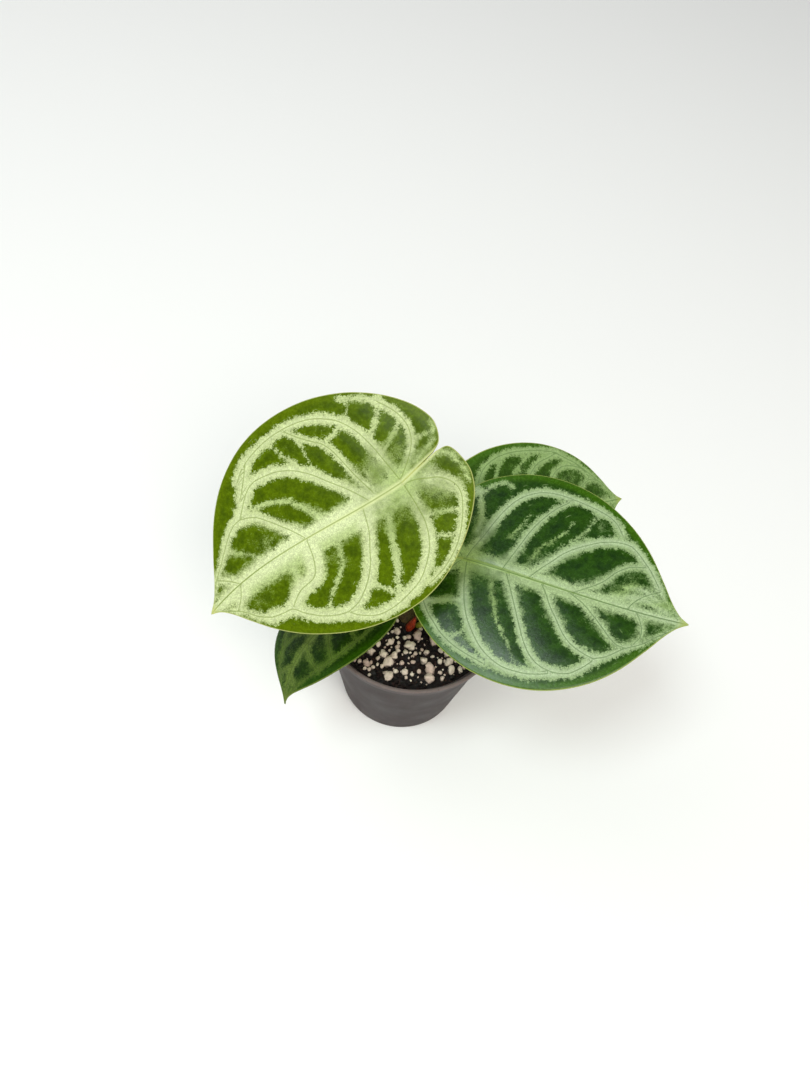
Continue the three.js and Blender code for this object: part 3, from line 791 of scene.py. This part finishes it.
LEFT_VEINS = {
    "left": [
        (4.8, 2.2, MIDRIB),
        (2.4, 1.8, [(0, 0), (-100, 70), (-160, 140), (-180, 210), (-140, 280), (-50, 330),
            (40, 350)]),
        (2.8, 2.4, [(0, 0), (0, 150), (50, 280), (130, 340), (250, 360), (360, 350), (460, 335)]),
        (1.8, 1.4, [(150, 0), (220, 160), (290, 250), (340, 310), (360, 350)]),
        (2.6, 2.2, [(320, 0), (400, 100), (460, 170), (510, 240), (550, 300)]),
        (2.6, 2.2, [(520, 0), (590, 60), (630, 130), (655, 200), (660, 260)]),
        (2.4, 1.8, [(780, 0), (830, 50), (860, 100)]),
        (2.2, 1.2, [(460, 335), (550, 310), (640, 260), (720, 215), (800, 160), (880, 90),
            (950, 30)]),
    ],
    "right": [
        (4.4, 2.2, MIDRIB),
        (2.4, 1.8, [(0, 0), (-100, 70), (-160, 140), (-180, 210), (-140, 280), (-50, 350),
            (50, 390)]),
        (2.8, 2.4, [(0, 0), (0, 150), (50, 300), (150, 380), (300, 390), (420, 360), (520, 320)]),
        (1.8, 1.4, [(100, 0), (150, 150), (200, 280), (260, 380)]),
        (2.6, 2.4, [(200, 0), (280, 120), (380, 210), (480, 260), (570, 280)]),
        (2.6, 2.2, [(420, 0), (480, 100), (560, 180), (650, 210), (740, 185)]),
        (2.4, 1.8, [(740, 0), (800, 70), (840, 120)]),
        (2.6, 1.2, [(520, 320), (590, 280), (670, 220), (750, 180), (830, 130), (900, 70),
            (970, 15)]),
    ],
    "clouds": {"left": [(0.4, 8, (500, 120))], "right": [(0.4, 9, (650, 100))]},
}

# Each leaf, in millimetres and degrees: its joint, its turn and its length. Bend, sway and twist
# shape the whole blade, and left and right hold what each half has of its own. Sinus slants the
# slot between the lobes, and lap closes it there. Root, lean and knee give the stalk's route. Green
# and silver run from a dark to a pale tone, and glow, heart and rib are the silver near the midrib,
# between the veins and on the midrib. Under holds the underside's two tones and its veins' colour
LEAVES = [
    dict(
        name="front_left", at=(-12.2, 7.8, 150), yaw=212.7, pitch=29.7, roll=-20.6, length=94,
        bend=0.057, sway=-0.04, twist=0.011, sinus=-0.021, lap=-0.15,
        left=dict(width=0.935, skew=0.062, fold=-0.004, cup=-0.037, lobe=1),
        right=dict(width=1.072, skew=0.051, fold=-0.003, cup=-0.033, lobe=0.92),
        root=(-1.4, 2.4), lean=(-1, 4, 34), knee=(0.6, 13), slot="blade_young",
        veins=FRONT_LEFT_VEINS, sheen=0.08, rib_width=1.8,
        green=("#394d00", "#4f6500"), silver=("#b4c187", "#c6d19c"), glow="#cfdaa6",
        heart="#8fa856", rib="#cfd89c", margin="#526700", vein="#7d8f45", edge="#b9bf72",
        under=("#8fa158", "#a9b872", "#c6d08e"),
    ),
    dict(
        name="right", at=(16.3, -0.8, 118), yaw=-13.9, pitch=-8.7, roll=15.4, length=90,
        bend=0.052, sway=-0.016, twist=-0.002, sinus=-0.056, lap=0,
        left=dict(width=1.021, skew=0.091, fold=0.008, cup=-0.02, lobe=0.87),
        right=dict(width=0.981, skew=0.067, fold=0.001, cup=-0.051, lobe=0.86),
        root=(3.2, -0.2), lean=(3, 0, 22), knee=(0.6, 13), slot="blade_mature",
        veins=RIGHT_VEINS, sheen=0.37, rib_width=1.3,
        green=("#102e00", "#224400"), silver=("#8ba36e", "#abbf94"), glow="#a0b682",
        heart="#82a04c", rib="#87a24a", margin="#345a00", vein="#54703a", edge="#9aa84e",
        under=("#6f8d55", "#86a068", "#a9bd84"),
    ),
    dict(
        name="back_right", at=(26.8, 26.1, 104), yaw=26.9, pitch=4.5, roll=35.3, length=73,
        bend=0.082, sway=0.005, twist=0.008, sinus=0.046, lap=0,
        left=dict(width=0.953, skew=-0.074, fold=0.003, cup=-0.053, lobe=1.03),
        right=dict(width=1, skew=0, fold=0, cup=-0.05, lobe=1),
        root=(2.4, 2.6), lean=(6, 8, 17), knee=(0.5, 10), slot="blade_mature",
        veins=BACK_RIGHT_VEINS, sheen=0.2, rib_width=1.0,
        green=("#243f08", "#33530e"), silver=("#86a162", "#98b276"), glow="#97b070",
        heart="#88a85c", rib="#88a85c", margin="#3b5f12", vein="#5d7a40", edge="#9aa84e",
        under=("#6f8d55", "#86a068", "#a9bd84"),
    ),
    # The left leaf lies low under the other leaves, and all its tones, upper and under, are darker
    # than theirs as painted shade
    dict(
        name="left", at=(-24, -7.5, 92), yaw=238.7, pitch=13.6, roll=29.7, length=56.3,
        bend=0.171, sway=-0.113, twist=0.023, sinus=-0.104, lap=0,
        left=dict(width=0.997, skew=-0.053, fold=0.002, cup=-0.169, lobe=0.92),
        right=dict(width=0.96, skew=-0.059, fold=-0.015, cup=-0.14, lobe=1),
        root=(-3.2, -2), lean=(-7, -1, 9), knee=(0.3, 7), slot="blade_mature",
        veins=LEFT_VEINS, sheen=0.1, rib_width=0.8,
        green=("#0e2500", "#1a3400"), silver=("#465e1c", "#586f2a"), glow="#5f7430",
        heart="#6c8230", rib="#5f7430", margin="#224200", vein="#405414", edge="#64742f",
        under=("#5f8048", "#76925a", "#9ab178"),
    ),
]


def flat_half(rows, across):
    """Points of half of a flat blade of length 1, in rows that run from midrib to margin."""
    t = np.linspace(0, 1, rows + 1)
    end = catmull_rom(HALF_OUTLINE, t)
    start = np.zeros_like(end)
    passed = np.maximum(0, (t - FIRST_MIDRIB_VEIN) / (1 - FIRST_MIDRIB_VEIN))
    start[:, 0] = passed**TIP_CROWDING
    run = end - start
    bow = VEIN_BOW * np.minimum(1, t / FIRST_BOWED_VEIN)[:, None]
    middle = start + 0.5 * run + bow * np.stack([-run[:, 1], run[:, 0]], 1)
    s = across[None, :, None]
    return (1 - s) ** 2 * start[:, None] + 2 * s * (1 - s) * middle[:, None] + s**2 * end[:, None]


def smooth_step(low, high, value):
    """A soft step from 0 at low to 1 at high."""
    t = np.clip((value - low) / (high - low), 0, 1)
    return t * t * (3 - 2 * t)


def bell(distance, width):
    """A round hump, 1 where the distance is 0 and nearly 0 from twice the width on."""
    return np.exp(-((distance / width) ** 2))


def laid_flat(leaf, half, flat):
    """Points of a blade of length 1 with this half's own width, skew and lobe, in millimetres."""
    x = flat[..., 0] + SKEW_GAIN * leaf[half]["skew"] * flat[..., 1] * (1 - flat[..., 0])
    x = np.where(x < 0, x * leaf[half]["lobe"], x)
    return np.stack([x, flat[..., 1] * leaf[half]["width"]], -1) * leaf["length"]


def leaf_turn(leaf):
    """The matrix that turns a level blade, with its tip along X, to the way it really faces."""
    return Euler([math.radians(leaf[key]) for key in ("roll", "pitch", "yaw")]).to_matrix()


def blade_points(leaf, half, laid, lift):
    """Laid-out points on the real blade, bent, cupped and twisted, raised by lift and in place."""
    x, reach = laid[..., 0] / leaf["length"], laid[..., 1] / leaf["length"]
    ahead = np.maximum(0, x)
    slant = leaf["sinus"] + leaf["lap"] * bell(reach, LAP_REACH)
    y = (reach if half == "left" else -reach) + slant * np.maximum(0, -x)
    z = (
        -leaf["bend"] * ahead**2
        + leaf[half]["fold"] * (np.hypot(reach, FOLD_ROUNDING) - FOLD_ROUNDING)
        + leaf[half]["cup"] * reach**2
        + leaf["twist"] * x * y
    )
    inside = np.minimum(1, ahead)
    y = y + leaf["sway"] * SWAY_GAIN * inside**2 * (1 - inside)
    x = x - 2 / 3 * leaf["bend"] ** 2 * ahead**3
    local = np.stack([x, y, z], -1) * leaf["length"]
    local[..., 2] += lift
    return local @ np.array(leaf_turn(leaf)).T + leaf["at"]


def to_line(points, line):
    """For each point: its distance to a line of points, the same with a sign for the side it is
    on, and how far along the line it is. Then the line's length."""
    best = np.full(len(points), np.inf)
    signed, along = np.zeros(len(points)), np.zeros(len(points))
    passed = 0
    for start, end in zip(line, line[1:]):
        run = end - start
        length = np.hypot(*run)
        offset = points - start
        t = np.clip(offset @ run / length**2, 0, 1)
        distance = np.hypot(*(offset - t[:, None] * run).T)
        nearer = distance < best
        best[nearer] = distance[nearer]
        turned_left = np.sign(run[0] * offset[:, 1] - run[1] * offset[:, 0])
        signed[nearer] = (distance * turned_left)[nearer]
        along[nearer] = passed + (t * length)[nearer]
        passed += length
    return best, signed, along, passed


def vein_fields(leaf, half, points):
    """What the blade's finish and relief need at each point of one half, in millimetres: how deep
    it lies in silver, its place beside and along the nearest main vein, how far that vein and the
    margin are, the silver clouds, and the distance to the stalk's joint and to the midrib."""
    scale = leaf["length"] / LEAVES[0]["length"]
    silvers = []
    gap = np.full(len(points), np.inf)
    line, along = np.zeros(len(points)), np.zeros(len(points))
    for number, (start_width, end_width, route) in enumerate(leaf["veins"][half]):
        smooth = catmull_rom(np.array(route) / 1000, np.linspace(0, 1, ROUTE_STEPS * len(route)))
        near, signed, passed, length = to_line(points, laid_flat(leaf, half, smooth))
        width = start_width + (end_width - start_width) * passed / length
        silvers.append(scale * width - near)
        if start_width < MAIN_VEIN:
            continue
        closest = near < gap
        gap[closest] = near[closest]
        line[closest] = signed[closest]
        along[closest] = passed[closest] + VEIN_OFFSET * number
    silvers = np.array(silvers)
    top = silvers.max(0)
    silver = top + SILVER_BLEND * np.log(np.exp((silvers - top) / SILVER_BLEND).sum(0))
    edge = laid_flat(leaf, half, catmull_rom(HALF_OUTLINE, np.linspace(0, 1, EDGE_STEPS)))
    sinus = laid_flat(leaf, half, flat_half(1, np.linspace(0, 1, SINUS_STEPS))[0])
    margin = np.minimum(to_line(points, edge)[0], to_line(points, sinus)[0])
    cloud = np.zeros(len(points))
    for strength, radius, middle in leaf["veins"]["clouds"][half]:
        away = np.hypot(*(points - laid_flat(leaf, half, np.array(middle) / 1000)).T)
        cloud += strength * bell(away, scale * radius)
    stalk, midrib = np.hypot(*points.T), points[:, 1]
    return dict(zip(FIELDS, (silver, line, along, gap, margin, cloud, stalk, midrib)))


def blade_sheet(leaf):
    """Points, faces, each face's side (0 upper, 1 under) and each point's fields of a whole blade:
    a fine grid above and below, closed by a rounded margin."""
    length = leaf["length"]
    rows = int(OUTLINE_LENGTH * length / GRID_SIZE)
    columns = int(HALF_WIDTH * length / GRID_SIZE)
    across = np.linspace(0, 1, columns + 1) ** MIDRIB_CROWDING
    layer = (rows + 1) * (columns + 1)
    points, faces, sides, fields = [], [], [], []
    for half, order in (("left", 1), ("right", -1)):
        laid = laid_flat(leaf, half, flat_half(rows, across))
        field = vein_fields(leaf, half, laid.reshape(-1, 2))
        grid = {key: value.reshape(rows + 1, columns + 1) for key, value in field.items()}
        fade = 1 - MIDRIB_FADE * np.clip(laid[..., 0] / length, 0, 1)
        beside = laid[..., 1] / fade
        puff = QUILT_HEIGHT * (1 - bell(grid["gap"], QUILT_REACH))
        puff *= smooth_step(0, QUILT_MARGIN, grid["margin"])
        crest = MIDRIB_CREST * bell(beside, CREST_WIDTH) - MIDRIB_GROOVE * bell(beside, GROOVE_WIDTH)
        rib = RIB_DEPTH * bell(grid["gap"], RIB_WIDTH) * smooth_step(0, RIB_MARGIN, grid["margin"])
        rib *= 1 - bell(beside, MIDRIB_WIDTH)
        rib += MIDRIB_DEPTH * fade * bell(beside, MIDRIB_WIDTH)
        thickness = BLADE_THICKNESS + (MARGIN_THICKNESS - BLADE_THICKNESS) * across**4
        thickness = np.tile(thickness, (rows + 1, 1))
        thickness[-1] = MARGIN_THICKNESS
        top = blade_points(leaf, half, laid, puff + fade * crest)
        base = blade_points(leaf, half, laid, puff - thickness - rib)
        rim = 0.5 * (top[:, -1] + base[:, -1])
        outward = top[:, -1] - top[:, -2]
        reach = np.maximum(np.linalg.norm(outward, axis=1), NO_REACH)[:, None]
        rim += RIM_BULGE * outward / reach * (reach > 2 * NO_REACH)
        first = sum(len(part) for part in points)
        points += [top.reshape(-1, 3), base.reshape(-1, 3), rim]
        fields.append({k: np.concatenate([v.ravel(), v.ravel(), v[:, -1]]) for k, v in grid.items()})

        upper, under = (first + np.arange(2 * layer)).reshape(2, rows + 1, columns + 1).tolist()
        rim_start = first + 2 * layer
        for row, (near, far) in enumerate(zip(upper, upper[1:])):
            for k in range(columns):
                corners = [near[k], far[k], far[k + 1], near[k + 1]]
                faces += [corners[::order], [corner + layer for corner in corners][::-order]]
                sides += [0, 1]
            edge = rim_start + row
            over = [near[-1], far[-1], edge + 1, edge]
            below = [edge, edge + 1, under[row + 1][-1], under[row][-1]]
            faces += [over[::order], below[::order]]
            sides += [0, 0]
        for k in range(columns):
            slot = [upper[0][k], upper[0][k + 1], under[0][k + 1], under[0][k]]
            if k == columns - 1:
                slot.insert(2, rim_start)
            faces.append(slot[::order])
            sides.append(0)
    fields = {key: np.concatenate([part[key] for part in fields]) for key in FIELDS}
    return np.concatenate(points), faces, sides, fields


def weld(points, faces, sides, fields):
    """The same sheet with points in one place joined, and faces that have no area left out."""
    places = np.round(points / WELD_DISTANCE).astype(int)
    _, kept, joined = np.unique(places, axis=0, return_index=True, return_inverse=True)
    joined = joined.ravel()
    new_faces, new_sides = [], []
    for face, side in zip(faces, sides):
        corners = list(dict.fromkeys(int(joined[corner]) for corner in face))
        if len(corners) > 2:
            new_faces.append(corners)
            new_sides.append(side)
    return points[kept], new_faces, new_sides, {key: value[kept] for key, value in fields.items()}


def silvered_leaf(leaf):
    """Upper face: leathery and satin. Air in the cells over the veins turns them silver, and the
    silver breaks up into fine specks where it meets the green, which is glossier. Distances in the
    masks are in millimetres."""
    material, add, shader = new_finish("silvered_leaf_" + leaf["name"])
    silver, line, along, gap, margin, cloud, stalk, midrib = (
        add("Attribute", attribute_name=key, output="Fac") for key in FIELDS
    )
    place = add("TexCoord", output="Object")
    broad, medium, fine = (
        add("TexNoise", Vector=place, Scale=1 / (size * MM), Detail=detail)
        for size, detail in ((4, 2), (1.3, 4), (0.5, 1))
    )
    cell = add("TexVoronoi", Vector=place, Scale=1 / (0.36 * MM), output="Color")
    cell = add("SeparateColor", cell)
    # Feathers point away from the vein. Thin streaks of silver run beside it in the green
    beside = add("CombineXYZ", along, gap)
    feather, streak = (
        add(
            "TexNoise", Scale=1.0, Detail=2,
            Vector=add("VectorMath", beside, (1 / x, 1 / y, 0), operation="MULTIPLY"),
        )
        for x, y in ((0.9, 4), (6, 0.8))
    )
    roughening = ((broad, 2.6), (medium, 2.4), (feather, 1.0), (fine, 1.3), (cell, 0.9))
    edge = add("Math", silver, -0.5 * sum(strength for _, strength in roughening))
    for pattern, strength in roughening:
        edge = add("Math", pattern, strength, edge, operation="MULTIPLY_ADD")
    # Towards the midrib the edge dissolves into dust; elsewhere it is crisp
    dust = mask(add, (midrib, 20, 9), (broad, 0.35, 0.6, 0.3, 1))
    dust = add("Math", dust, 1.3, 0.6, operation="MULTIPLY_ADD")
    edge = add("Math", edge, dust, operation="DIVIDE")
    # A cloud of silver has no edge, only finer and sparser specks
    fog = add("Math", add("Math", fine, broad), 0.8, cloud, operation="MULTIPLY_ADD")
    shown = mask(add, (edge, -1, 1))
    for part in (
        mask(add, (streak, 0.66, 0.7, 0, 0.85), (gap, 6, 4.5), (broad, 0.48, 0.6)),
        mask(add, (fog, 1.05, 1.65, 0, 0.7)),
    ):
        shown = add("Math", shown, part, operation="MAXIMUM")
    # Round the stalk's joint the silver is thin
    speckle = add("Math", cell, 0.3, broad, operation="MULTIPLY_ADD")
    thin = mask(add, (stalk, 3, 8), (stalk, 26, 12), (speckle, 0.5, 0.85, 0.1, 0.55))
    left = add("Math", 1.0, thin, operation="SUBTRACT")
    shown = add("Math", shown, left, operation="MULTIPLY")

    pale = layered(
        add, leaf["silver"][0],
        (mask(add, (silver, 0, 2.5)), leaf["silver"][1]),
        (mask(add, (midrib, 12, 2), (stalk, 88, 50)), leaf["glow"]),
        (mask(add, (gap, 2, 6), (midrib, 30, 15, 0.1, 0.5)), leaf["heart"]),
        (mask(add, (stalk, 16, 2, 0, 0.7)), leaf["heart"]),
    )
    sparkle = mask(
        add, (fine, 0.3, 0.7, 0.88, 1.08), (cell, 0, 1, 0.84, 1.1), (medium, 0.3, 0.7, 0.9, 1.05)
    )
    pale = layered(add, pale, (1.0, sparkle), blend_type="MULTIPLY")
    lighter = add("Math", mask(add, (broad, 0.3, 0.7)), mask(add, (silver, -4, 0, 0, 0.5)))
    green = layered(
        add, leaf["green"][0], (lighter, leaf["green"][1]),
        (mask(add, (margin, 4, 1.5)), leaf["margin"]),
    )
    mottle = mask(add, (fine, 0.3, 0.7, 0.88, 1.1), (medium, 0.3, 0.7, 0.85, 1.15))
    green = layered(add, green, (1.0, mottle), blend_type="MULTIPLY")
    # A thin dark line lies in each vein. The midrib shines palest and widest at the joint
    off_line = add("Math", line, operation="ABSOLUTE")
    on_line = mask(add, (off_line, 0.3, 0.1), (gap, 1.3, 0.8))
    reach = mask(add, (stalk, 55, 5, 0.35, leaf["rib_width"]))
    bright = add("Math", reach, 0.3, operation="MULTIPLY")
    # Grains of soil that have dried on the leaf, in some of the cells of a wide net
    grain = add("TexVoronoi", Vector=place, Scale=1 / (8 * MM))
    chosen = add("TexVoronoi", Vector=place, Scale=1 / (8 * MM), output="Color")
    chosen = add("SeparateColor", chosen)
    colour = layered(
        add, green, (shown, pale),
        (add("Math", on_line, 0.7, operation="MULTIPLY"), leaf["vein"]),
        (mask(add, (midrib, reach, bright, 0, 0.7), (stalk, 70, 40)), leaf["rib"]),
        (mask(add, (midrib, 0.35, 0.15, 0, 0.6)), leaf["vein"]),
        (mask(add, (margin, 0.3, 0.08, 0, 0.8)), leaf["edge"]),
        (mask(add, (stalk, leaf["length"] - 5, leaf["length"] - 1, 0, 0.8)), leaf["edge"]),
        (mask(add, (grain, 0.034, 0.022), (chosen, 0.55, 0.6)), "#3d3a1a"),
    )
    height = 0.0
    for pattern, depth in ((on_line, -0.08), (cell, 0.004), (medium, 0.04)):
        height = add("Math", pattern, depth, height, operation="MULTIPLY_ADD")
    rough = mask(add, (medium, 0.3, 0.7, 0.25, 0.29))
    feed(
        shader, Base_Color=colour, IOR=1.45, Specular_IOR_Level=leaf["sheen"],
        Roughness=add("Math", shown, 0.08, rough, operation="MULTIPLY_ADD"),
        Normal=add("Bump", Strength=0.8, Distance=1.0 * MM, Height=height),
    )
    return material


def leaf_underside(leaf):
    """Under face: matt and paler than the upper, with raised veins and a fine net between them."""
    material, add, shader = new_finish("matt_underside_" + leaf["name"])
    place = add("TexCoord", output="Object")
    gap = add("Attribute", attribute_name="gap", output="Fac")
    net = add("TexVoronoi", Vector=place, Scale=1 / (1.6 * MM), feature="DISTANCE_TO_EDGE")
    cloud = add("TexNoise", Vector=place, Scale=1 / (9 * MM), Detail=3)
    on_vein = mask(add, (gap, 1.2, 0.2, 0, 0.8))
    on_net = add("MapRange", net, 0.12, 0.0, 0, 0.3)
    dark, pale, vein = leaf["under"]
    ribs = add("Math", on_vein, 4.0, on_net, operation="MULTIPLY_ADD")
    feed(
        shader, IOR=1.4, Roughness=0.62,
        Base_Color=layered(add, dark, (cloud, pale), (on_vein, vein), (on_net, vein)),
        Normal=add("Bump", Strength=0.7, Distance=0.15 * MM, Height=ribs),
    )
    return material


for leaf in LEAVES:
    points, faces, sides, fields = weld(*blade_sheet(leaf))
    blade = add_piece(
        "blade_of_" + leaf["name"], points, faces, silvered_leaf(leaf), leaf_underside(leaf)
    )
    blade.data.polygons.foreach_set("material_index", sides)
    for key, values in fields.items():
        blade.data.attributes.new(key, "FLOAT", "POINT").data.foreach_set("value", values)
    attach(blade, "root")
    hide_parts("blade_" + leaf["name"])


# Leaf stalks
# Each stalk is one firm round stem that leaves the crown, arches out and up, and ends in a
# thicker knee, which turns the blade to the light and meets it from below.

STALK_RADIUS = 1.35
STALK_BASE = 1.9
KNEE_RADIUS = 1.75
KNEE_LENGTH = 9
BASE_TAPER = 0.3
STALK_SINK = 6
JOINT_OVERLAP = 0.6
KNEE_FADE = 1.4
STALK_SIDES = 28
STALK_STEPS = 110


def stalk_tree():
    """A tree that turns a curve into a round bar, wider at its foot and at its knee."""
    tree, add, given = new_tree(
        "leaf_stalk", Radius="Float", Base_Radius="Float", Knee_Radius="Float",
        Knee_Length="Float", Base_Taper="Float", Steps="Int", Sides="Int", Material="Material",
    )
    curve = add("ResampleCurve", Curve=given["Geometry"], Count=given["Steps"])
    t = add("SplineParameter", output="Factor")
    passed = add("SplineParameter", output="Length")
    length = add("SplineLength", output="Length")
    left = add("Math", length, passed, operation="SUBTRACT")
    start = add("Math", given["Knee Length"], KNEE_FADE, operation="MULTIPLY")
    knee = mask(add, (left, start, given["Knee Length"], given["Radius"], given["Knee Radius"]))
    foot = add("MapRange", t, 0.0, given["Base Taper"], 1.0, 0.0)
    foot = add("Math", foot, 2.0, operation="POWER")
    flare = add("Math", given["Base Radius"], given["Radius"], operation="SUBTRACT")
    radius = add("Math", flare, foot, knee, operation="MULTIPLY_ADD")
    curve = add(
        "StoreNamedAttribute", curve, Name="climb", Value=t, data_type="FLOAT", domain="POINT"
    )
    ring = add("CurvePrimitiveCircle", Resolution=given["Sides"], Radius=1.0)
    bar = add("CurveToMesh", Curve=curve, Profile_Curve=ring, Scale=radius, Fill_Caps=True)
    bar = add("RealizeInstances", add("SetShadeSmooth", bar))
    add("GroupOutput", add("SetMaterial", bar, Material=given["Material"]))
    return tree


def stalk_skin():
    """Smooth and firm, satin green with fine lengthwise streaks, browner and duller at the foot and
    paler on the knee."""
    material, add, shader = new_finish("firm_stalk_skin")
    place = add("TexCoord", output="Object")
    climb = add("Attribute", attribute_name="climb", output="Fac")
    upright = add("Mapping", Vector=place, Scale=(1, 1, 0.08))
    streak = add("TexNoise", Vector=upright, Scale=1 / (0.5 * MM), Detail=3)
    fleck = add("TexNoise", Vector=place, Scale=1 / (1.2 * MM), Detail=2)
    colour = layered(
        add, "#6c7f2c", (streak, "#93a850"),
        (add("MapRange", climb, 0.3, 0.0, 0, 0.8), "#5a3d20"),
        (add("MapRange", climb, 0.8, 0.97, 0, 0.6), "#a8b866"),
        (add("MapRange", fleck, 0.66, 0.74, 0, 0.5), "#c9cf96"),
    )
    feed(
        shader, Base_Color=colour, IOR=1.44, Subsurface_Weight=0.08,
        Subsurface_Scale=1.0 * MM, Roughness=add("MapRange", fleck, 0, 1, 0.36, 0.5),
        Normal=add("Bump", Strength=0.3, Distance=0.1 * MM, Height=streak),
    )
    return material


stalk_finish = stalk_skin()
stalk_nodes = stalk_tree()
for leaf in LEAVES:
    turn = leaf_turn(leaf)
    joint = Vector(leaf["at"])
    foot = Vector((*(CROWN_PLACE + leaf["root"]), CROWN_TOP - STALK_SINK))
    start = foot + Vector(leaf["lean"])
    below = joint + turn @ Vector((leaf["knee"][0], 0, -leaf["knee"][1]))
    end = joint + turn @ Vector((0, 0, -BLADE_THICKNESS - JOINT_OVERLAP * MIDRIB_DEPTH))
    curve = bpy.data.curves.new("stalk_of_" + leaf["name"], "CURVE")
    curve.dimensions = "3D"
    curve.resolution_u = 64
    spline = curve.splines.new("BEZIER")
    spline.bezier_points.add(1)
    for knot, middle, back, ahead in zip(
        spline.bezier_points, (foot, end), (foot, below), (start, end)
    ):
        knot.handle_left_type = knot.handle_right_type = "FREE"
        knot.co, knot.handle_left, knot.handle_right = middle * MM, back * MM, ahead * MM
    stalk = run_nodes(
        in_scene(curve.name, curve), stalk_nodes, Radius=STALK_RADIUS * MM,
        Base_Radius=STALK_BASE * MM, Knee_Radius=KNEE_RADIUS * MM, Knee_Length=KNEE_LENGTH * MM,
        Base_Taper=BASE_TAPER, Steps=STALK_STEPS, Sides=STALK_SIDES, Material=stalk_finish,
    )
    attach(stalk, "root")
    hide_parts("stalk_" + leaf["name"])


# Floor and light
# A plain pale floor under a white sky that darkens overhead, with a large soft lamp in front, a
# small cool one to the left of it and a weak one from behind.

FLOOR_SIZE = 3.0

floor = in_scene("floor", bpy.data.meshes.new("floor"))
reach = FLOOR_SIZE / 2
corners = [(-reach, -reach, 0), (reach, -reach, 0), (reach, reach, 0), (-reach, reach, 0)]
floor.data.from_pydata(corners, [], [(0, 1, 2, 3)])
paper, _, paper_shader = new_finish("pale_backdrop_paper")
feed(paper_shader, Base_Color="#fafaf8", Roughness=0.9)
floor.data.materials.append(paper)

sky = bpy.data.worlds.new("white_sky")
sky.use_nodes = True
add = partial(node, sky.node_tree)
height = add("SeparateXYZ", add("TexCoord", output="Generated"), output="Z")
overhead = add("MapRange", height, 0.3, 0.95)
feed(
    sky.node_tree.nodes["Background"], Strength=0.75,
    Color=layered(add, "#ffffff", (overhead, "#6a6d72")),
)
bpy.context.scene.world = sky

# Each lamp: where it stands, the side of its square in metres, its power in watts and its colour
for name, lamp_place, size, power, tint in (
    ("key", (0.27, -0.75, 1.27), 0.8, 10.8, "#fff9f0"),
    ("window", (-0.38, -0.33, 1.26), 0.36, 6.5, "#e2f0f0"),
    ("fill", (-1.0, 0.5, 1.2), 1.2, 5, "#ffffff"),
):
    lamp = in_scene(name, bpy.data.lights.new(name, "AREA"))
    lamp.data.size = size
    lamp.data.energy = power
    lamp.data.color = linear(tint)[:3]
    lamp.location = lamp_place
    aim = Vector((0, 0, 0.1)) - Vector(lamp_place)
    lamp.rotation_euler = aim.to_track_quat("-Z", "Y").to_euler()
